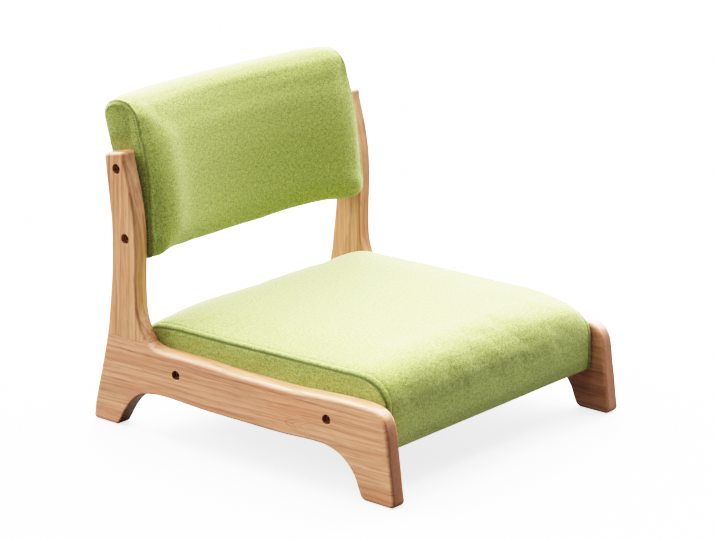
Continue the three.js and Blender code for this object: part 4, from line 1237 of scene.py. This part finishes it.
def back_shape(X, Y, Z, U, O):
    v = X / PAD
    q = 1 - v ** 2
    d = (1 - np.abs(v)) * PAD
    t = np.clip((Y - (167.2 + 0.16 * (Z - 231))) / 57, 0, 1)
    low = smooth((Z - 226) / 30)
    high = smooth((Z - 350) / 62)
    front = (1 - smooth((U - 0.9) / 0.35)) + smooth((U - 3.6) / 0.35)
    rear = smooth((U - 1.8) / 0.3) * (1 - smooth((U - 2.9) / 0.3))
    top = smooth((U - 0.85) / 0.3) * (1 - smooth((U - 1.8) / 0.3))
    C = front * np.interp(Z, [226, 236, 250, 273, 300, 320, 340, 365, 388, 405, 420], [9, 13, 17.2, 17.0, 16.0, 14.0, 12.0, 10.5, 7.8, 5.0, 3.0]) + 4.0 * top + 2.5 * rear
    level = smooth((Z - 240) / 30) * (1 - smooth((Z - 376) / 30))
    far = smooth((Z - 236) / 30) * (1 - smooth((Z - 398) / 24))
    sh = 1 - np.exp(-(d / (13.0 + front * (np.where(X < 0, 5.5 * level, 7.0 * far) - 2))) ** 1.25)
    sag = (17 + 5 * t + 5 * smooth((Z - 372) / 36)) * q
    sag = sag + front * C * q
    y = Y + sag + O[..., 0] * C * sh * (front + rear + 0.4 * top)
    y = y - 3.4 * front * level * np.exp(-((X + PAD - 42) / 24) ** 2) * smooth((X + PAD) / 14)
    z = Z + O[..., 1] * C * sh * (0.25 * (front + rear) + top) - 4.0 * q * smooth((250 - Z) / 25)
    # the lower edge is not quite even, and its far corner hangs
    z = z + np.interp(X, [-207, -194, -181, -162, -143, -124, -105, -87, -68, 27, 46, 65, 84, 121, 140, 150, 160, 172, 182, 192, 200, 207],
                      [-2.5, -2.0, 1.2, 2.0, -0.2, -0.9, -1.6, -2.5, -3.2, -3.8, -2.8, -2.0, -1.6, -1.5, -1.9, -2.4, -3.6, -4.9, -5.0, -4.0, -2.0, 0]) * smooth((256 - Z) / 26)
    return np.stack([v * end_half(Z, t), y, z], axis=-1)


def back_panel(G, s):
    G = G.copy()
    y, z = G[..., 1], G[..., 2]
    free = smooth((z - 366) / 20)
    mid = 172 + 0.19 * (z - 230) + 28
    inside = np.clip(1 - ((y - mid) / 26) ** 2, 0, 1)
    G[..., 0] = s * (np.abs(G[..., 0]) + 3.2 * free * inside)
    return G


BACK_FINE = Cushion(BACK_SEGS, (78, 26), stations(True, 3.0), back_shape, back_panel)
co = Cushion(BACK_SEGS, (30, 9), stations(False, 6.4), back_shape, back_panel)
X = np.repeat(co.xs[None], co.NL, axis=0)
pin = np.where(np.abs(X) > PAD - 0.5, 0.9, 0.0)
ds, dp = co.settle(pin, lambda G: np.where(G[..., 2] < 360, 1.0, 0.2), pressure=3.0, cap=6.0, grow=0.004)
BACK_MOVE = carry(co, BACK_FINE, ds, dp)
print("back moved", np.abs(ds).max(axis=(0, 1)), np.percentile(np.linalg.norm(ds, axis=2), [50, 90, 99]))


def back_folds(C):
    """Faint upright folds near the lower corners and gathers round the tight top of the end seams."""
    X = np.repeat(C.xs[None], C.NL, axis=0)
    U = np.repeat(C.u[:, None], len(C.xs), axis=1)
    s = np.repeat(C.s[:-1, None], len(C.xs), axis=1)
    d = PAD - np.abs(X)
    front = 1 - smooth((U - 0.95) / 0.2)
    f = 0.55 * wobble(np.sign(X) * 40 + d + 0.06 * s, 9.0, 61, 2) * np.exp(-((d - 16) / 15) ** 2) * (1 - smooth((U - 0.10) / 0.7)) * front
    gather = wobble(s + 5 * np.sign(X), 6.0, 71, 1) * 0.42 * np.exp(-((d - 7) / 6.0) ** 2) * smooth((U - 0.78) / 0.12) * (1 - smooth((U - 1.95) / 0.12))
    return f + gather


back_crease_shade = finish_cushion(BACK_FINE, BACK_MOVE, 0.5, 1.0, 0.35, 202, 0, back_folds)
# the painted seam shade is made stronger along the top and rear of the back
back_crease_shade = np.minimum(back_crease_shade * (1 + 2.2 * smooth((BACK_FINE.u - 1.05) / 0.3) * (BACK_FINE.u < 3))[:, None], 1.0)
back = BACK_FINE.mesh("back_cushion", [M["cloth"]], crease_shade=back_crease_shade, panel_crease_shade=panel_crease_shade_of(BACK_FINE))
outward(back)
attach(back, "root")
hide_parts("back_foam_front", "back_foam_rear", "back_cover_main", "back_cover_left_end", "back_cover_right_end")
st = stitches("back_topstitch", BACK_FINE, 0, [(0.02, 1.9)], 3.6, 2.7, 0.42, 0.22, M["thread"], 9, inset=5.5)
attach(st, "root")

# ------------------------------------------------------------------ dust cloth and staples under the seat
lo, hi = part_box("seat_dust_cover")
x0, x1, y0, y1 = lo.x * 1000, hi.x * 1000, lo.y * 1000 + DATUM, hi.y * 1000 + DATUM
nx_, ny_ = 86, 84
gx, gy = np.linspace(x0, x1, nx_ + 1), np.linspace(y0, y1, ny_ + 1)
GX, GY = np.meshgrid(gx, gy, indexing="ij")
edge = np.minimum.reduce([GX - x0, x1 - GX, GY - y0, y1 - GY])
dip = -0.9 * smooth((edge - 14) / 60) + 0.28 * noise2(GX, GY, 38, 5, 3) * smooth((edge - 6) / 20)
hem = 0.35 * (1 - smooth((edge - 11.5) / 1.2))
wave_ = 0.25 * wobble(GX + GY, 24, 9) * np.exp(-((edge - 9) / 6) ** 2)
ZB = 56.25 + dip - hem + wave_
verts = np.concatenate([np.stack([GX, GY, ZB], -1).reshape(-1, 3), np.stack([GX, GY, np.minimum(ZB + 0.45, 56.95)], -1).reshape(-1, 3)])
I = np.arange((nx_ + 1) * (ny_ + 1)).reshape(nx_ + 1, ny_ + 1)
off = I.size
faces = []
for a in range(nx_):
    for b in range(ny_):
        faces.append((I[a, b], I[a, b + 1], I[a + 1, b + 1], I[a + 1, b]))
        faces.append((off + I[a, b], off + I[a + 1, b], off + I[a + 1, b + 1], off + I[a, b + 1]))
rim = [I[a, 0] for a in range(nx_)] + [I[nx_, b] for b in range(ny_)] + [I[a, ny_] for a in range(nx_, 0, -1)] + [I[0, b] for b in range(ny_, 0, -1)]
for k in range(len(rim)):
    a, b = rim[k], rim[(k + 1) % len(rim)]
    faces.append((a, b, off + b, off + a))
dust = mesh_object("seat_dust_cloth", to_row(verts), faces, [M["lining"]])
outward(dust)
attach(dust, "root"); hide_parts("seat_dust_cover")

sv, sf = [], []
r_ = np.random.default_rng(3)
pts = []
for x in np.arange(x0 + 16, x1 - 10, 34):
    pts += [(x, y0 + 6.5, 0), (x, y1 - 6.5, 0)]
for y in np.arange(y0 + 24, y1 - 14, 36):
    pts += [(x0 + 6.5, y, 90), (x1 - 6.5, y, 90)]
for (x, y, a) in pts:
    a = math.radians(a + 8 * (r_.random() - 0.5))
    x, y = x + 2 * (r_.random() - 0.5), y + 0.8 * (r_.random() - 0.5)
    path = [(-4.9, 56.9), (-4.9, 55.9), (-4.75, 55.62), (-4.4, 55.5), (0, 55.44), (4.4, 55.5), (4.75, 55.62), (4.9, 55.9), (4.9, 56.9)]
    rows = []
    for k, (l, z) in enumerate(path):
        l0, z0 = path[max(k - 1, 0)]
        l1, z1 = path[min(k + 1, len(path) - 1)]
        t = np.array([l1 - l0, z1 - z0]); t /= np.linalg.norm(t)
        nrm_ = np.array([-t[1], t[0]])
        row = []
        for q in range(8):
            w = 2 * math.pi * q / 8 + math.pi / 8
            p = np.array([l, z]) + nrm_ * 0.24 * math.cos(w)
            side_ = 0.45 * math.sin(w)
            row.append(len(sv))
            sv.append((x + p[0] * math.cos(a) - side_ * math.sin(a), y + p[0] * math.sin(a) + side_ * math.cos(a), p[1]))
        rows.append(row)
    for r0, r1 in zip(rows[:-1], rows[1:]):
        for q in range(8):
            sf.append((r0[q], r0[(q + 1) % 8], r1[(q + 1) % 8], r1[q]))
    sf.append(tuple(rows[0][::-1])); sf.append(tuple(rows[-1]))
staples = mesh_object("seat_staples", to_row(np.array(sv)), sf, [M["zinc"]])
outward(staples)
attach(staples, "root")

# ------------------------------------------------------------------ floor, light, camera
T = Tree("studio_floor")
nf = T.noise(T.mapping(T.coords(), scale=(7, 7, 7)), 1.0, 3, 0.5)
# the floor is white to the eye, but throws back little light, as a studio floor far below the frame's white would
seen = T.node("ShaderNodeLightPath").outputs["Is Camera Ray"]
pale = T.mix(nf, (0.62, 0.62, 0.62, 1), (0.66, 0.66, 0.66, 1))
T.set(Base_Color=T.mix(seen, (0.10, 0.10, 0.10, 1), pale), Roughness=0.8, Specular_IOR_Level=0.1, Emission_Color=(1.0, 1.0, 1.0, 1), Emission_Strength=T.math("MULTIPLY", seen, 1.3))
L = 30.0
floor = mesh_object("studio_floor", [(-L, -L, -0.0004), (L, -L, -0.0004), (L, L, -0.0004), (-L, L, -0.0004)], [(0, 1, 2, 3)], [T.mat])
floor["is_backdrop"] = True

world = bpy.data.worlds.new("studio")
bpy.context.scene.world = world
world.use_nodes = True
world.node_tree.nodes["Background"].inputs[0].default_value = (1.0, 1.0, 1.0, 1)
world.node_tree.nodes["Background"].inputs[1].default_value = 0.06


def sun(name, direction, strength, angle, colour=(1, 1, 1)):
    li = bpy.data.lights.new(name, "SUN")
    li.energy, li.angle, li.color = strength, math.radians(angle), colour
    ob = bpy.data.objects.new(name, li)
    ob.rotation_euler = Vector(direction).to_track_quat("Z", "Y").to_euler()
    bpy.context.scene.collection.objects.link(ob)
    return ob


# large soft lights above, behind and to the right: azimuth from the front towards the right, elevation, strength
for az_, el_, power in ((0, 90, 2.3), (120, 62, 2.8), (180, 62, 2.8), (60, 62, 1.1),
                        (90, 38, 3.1), (120, 38, 3.6), (150, 38, 2.9), (180, 38, 2.2), (210, 38, 1.75), (240, 38, 1.0), (60, 38, 0.5), (270, 38, 0.3),
                        (90, 12, 3.2), (120, 12, 3.5), (150, 12, 1.6), (180, 12, 1.4), (210, 12, 1.95), (30, 12, 0.95)):
    a_, e_ = math.radians(az_), math.radians(el_)
    sun(f"soft_{az_}_{el_}", (math.sin(a_) * math.cos(e_), -math.cos(a_) * math.cos(e_), math.sin(e_)), power, 30)

AZ, EL, ROLL = math.radians(-49.5216), math.radians(16.9291), math.radians(-0.163)
back_dir = Vector((math.sin(AZ) * math.cos(EL), -math.cos(AZ) * math.cos(EL), math.sin(EL)))
turn_ = back_dir.to_track_quat("Z", "Y") @ Quaternion((0, 0, 1), ROLL)
target = Vector((0.000125, (-0.082 - DATUM) / 1000, 0.19626)) + turn_ @ Vector((-0.0001, 0.00065, 0))
cam = bpy.data.cameras.new("camera")
cam.sensor_width, cam.lens = 36.0, 140.914
cam_ob = bpy.data.objects.new("camera", cam)
cam_ob.location = target + back_dir * 3.6092
cam_ob.rotation_euler = turn_.to_euler()
cam.clip_end = 100
bpy.context.scene.collection.objects.link(cam_ob)
bpy.context.scene.camera = cam_ob

vs = bpy.context.scene.view_settings
vs.view_transform = "Standard"
vs.look = "None"
vs.exposure = 0.0
vs.gamma = 1.0
vs.use_curve_mapping = True                       # a soft shoulder, as a camera gives to bright cloth
cm = vs.curve_mapping
cm.white_level = (6.0, 6.0, 6.0)
cm.black_level = (0.0, 0.0, 0.0)
curve = cm.curves[3]
for x_, y_ in ((0.05, 0.03), (0.10, 0.078), (0.19, 0.168), (0.28, 0.26), (0.40, 0.37), (0.55, 0.485), (0.75, 0.60), (1.0, 0.71), (1.4, 0.82), (2.0, 0.90), (3.0, 0.96), (4.5, 0.99)):
    curve.points.new(x_ / 6.0, y_)
curve.points[0].location = (0.0, 0.0)
curve.points[-1].location = (1.0, 1.0)
for q_ in curve.points:
    q_.handle_type = "VECTOR"
cm.update()

b1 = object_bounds()
as_list = lambda b: [[float(c) for c in p] for p in b]
{"cad": as_list(cad_box), "visual": as_list(b1)}
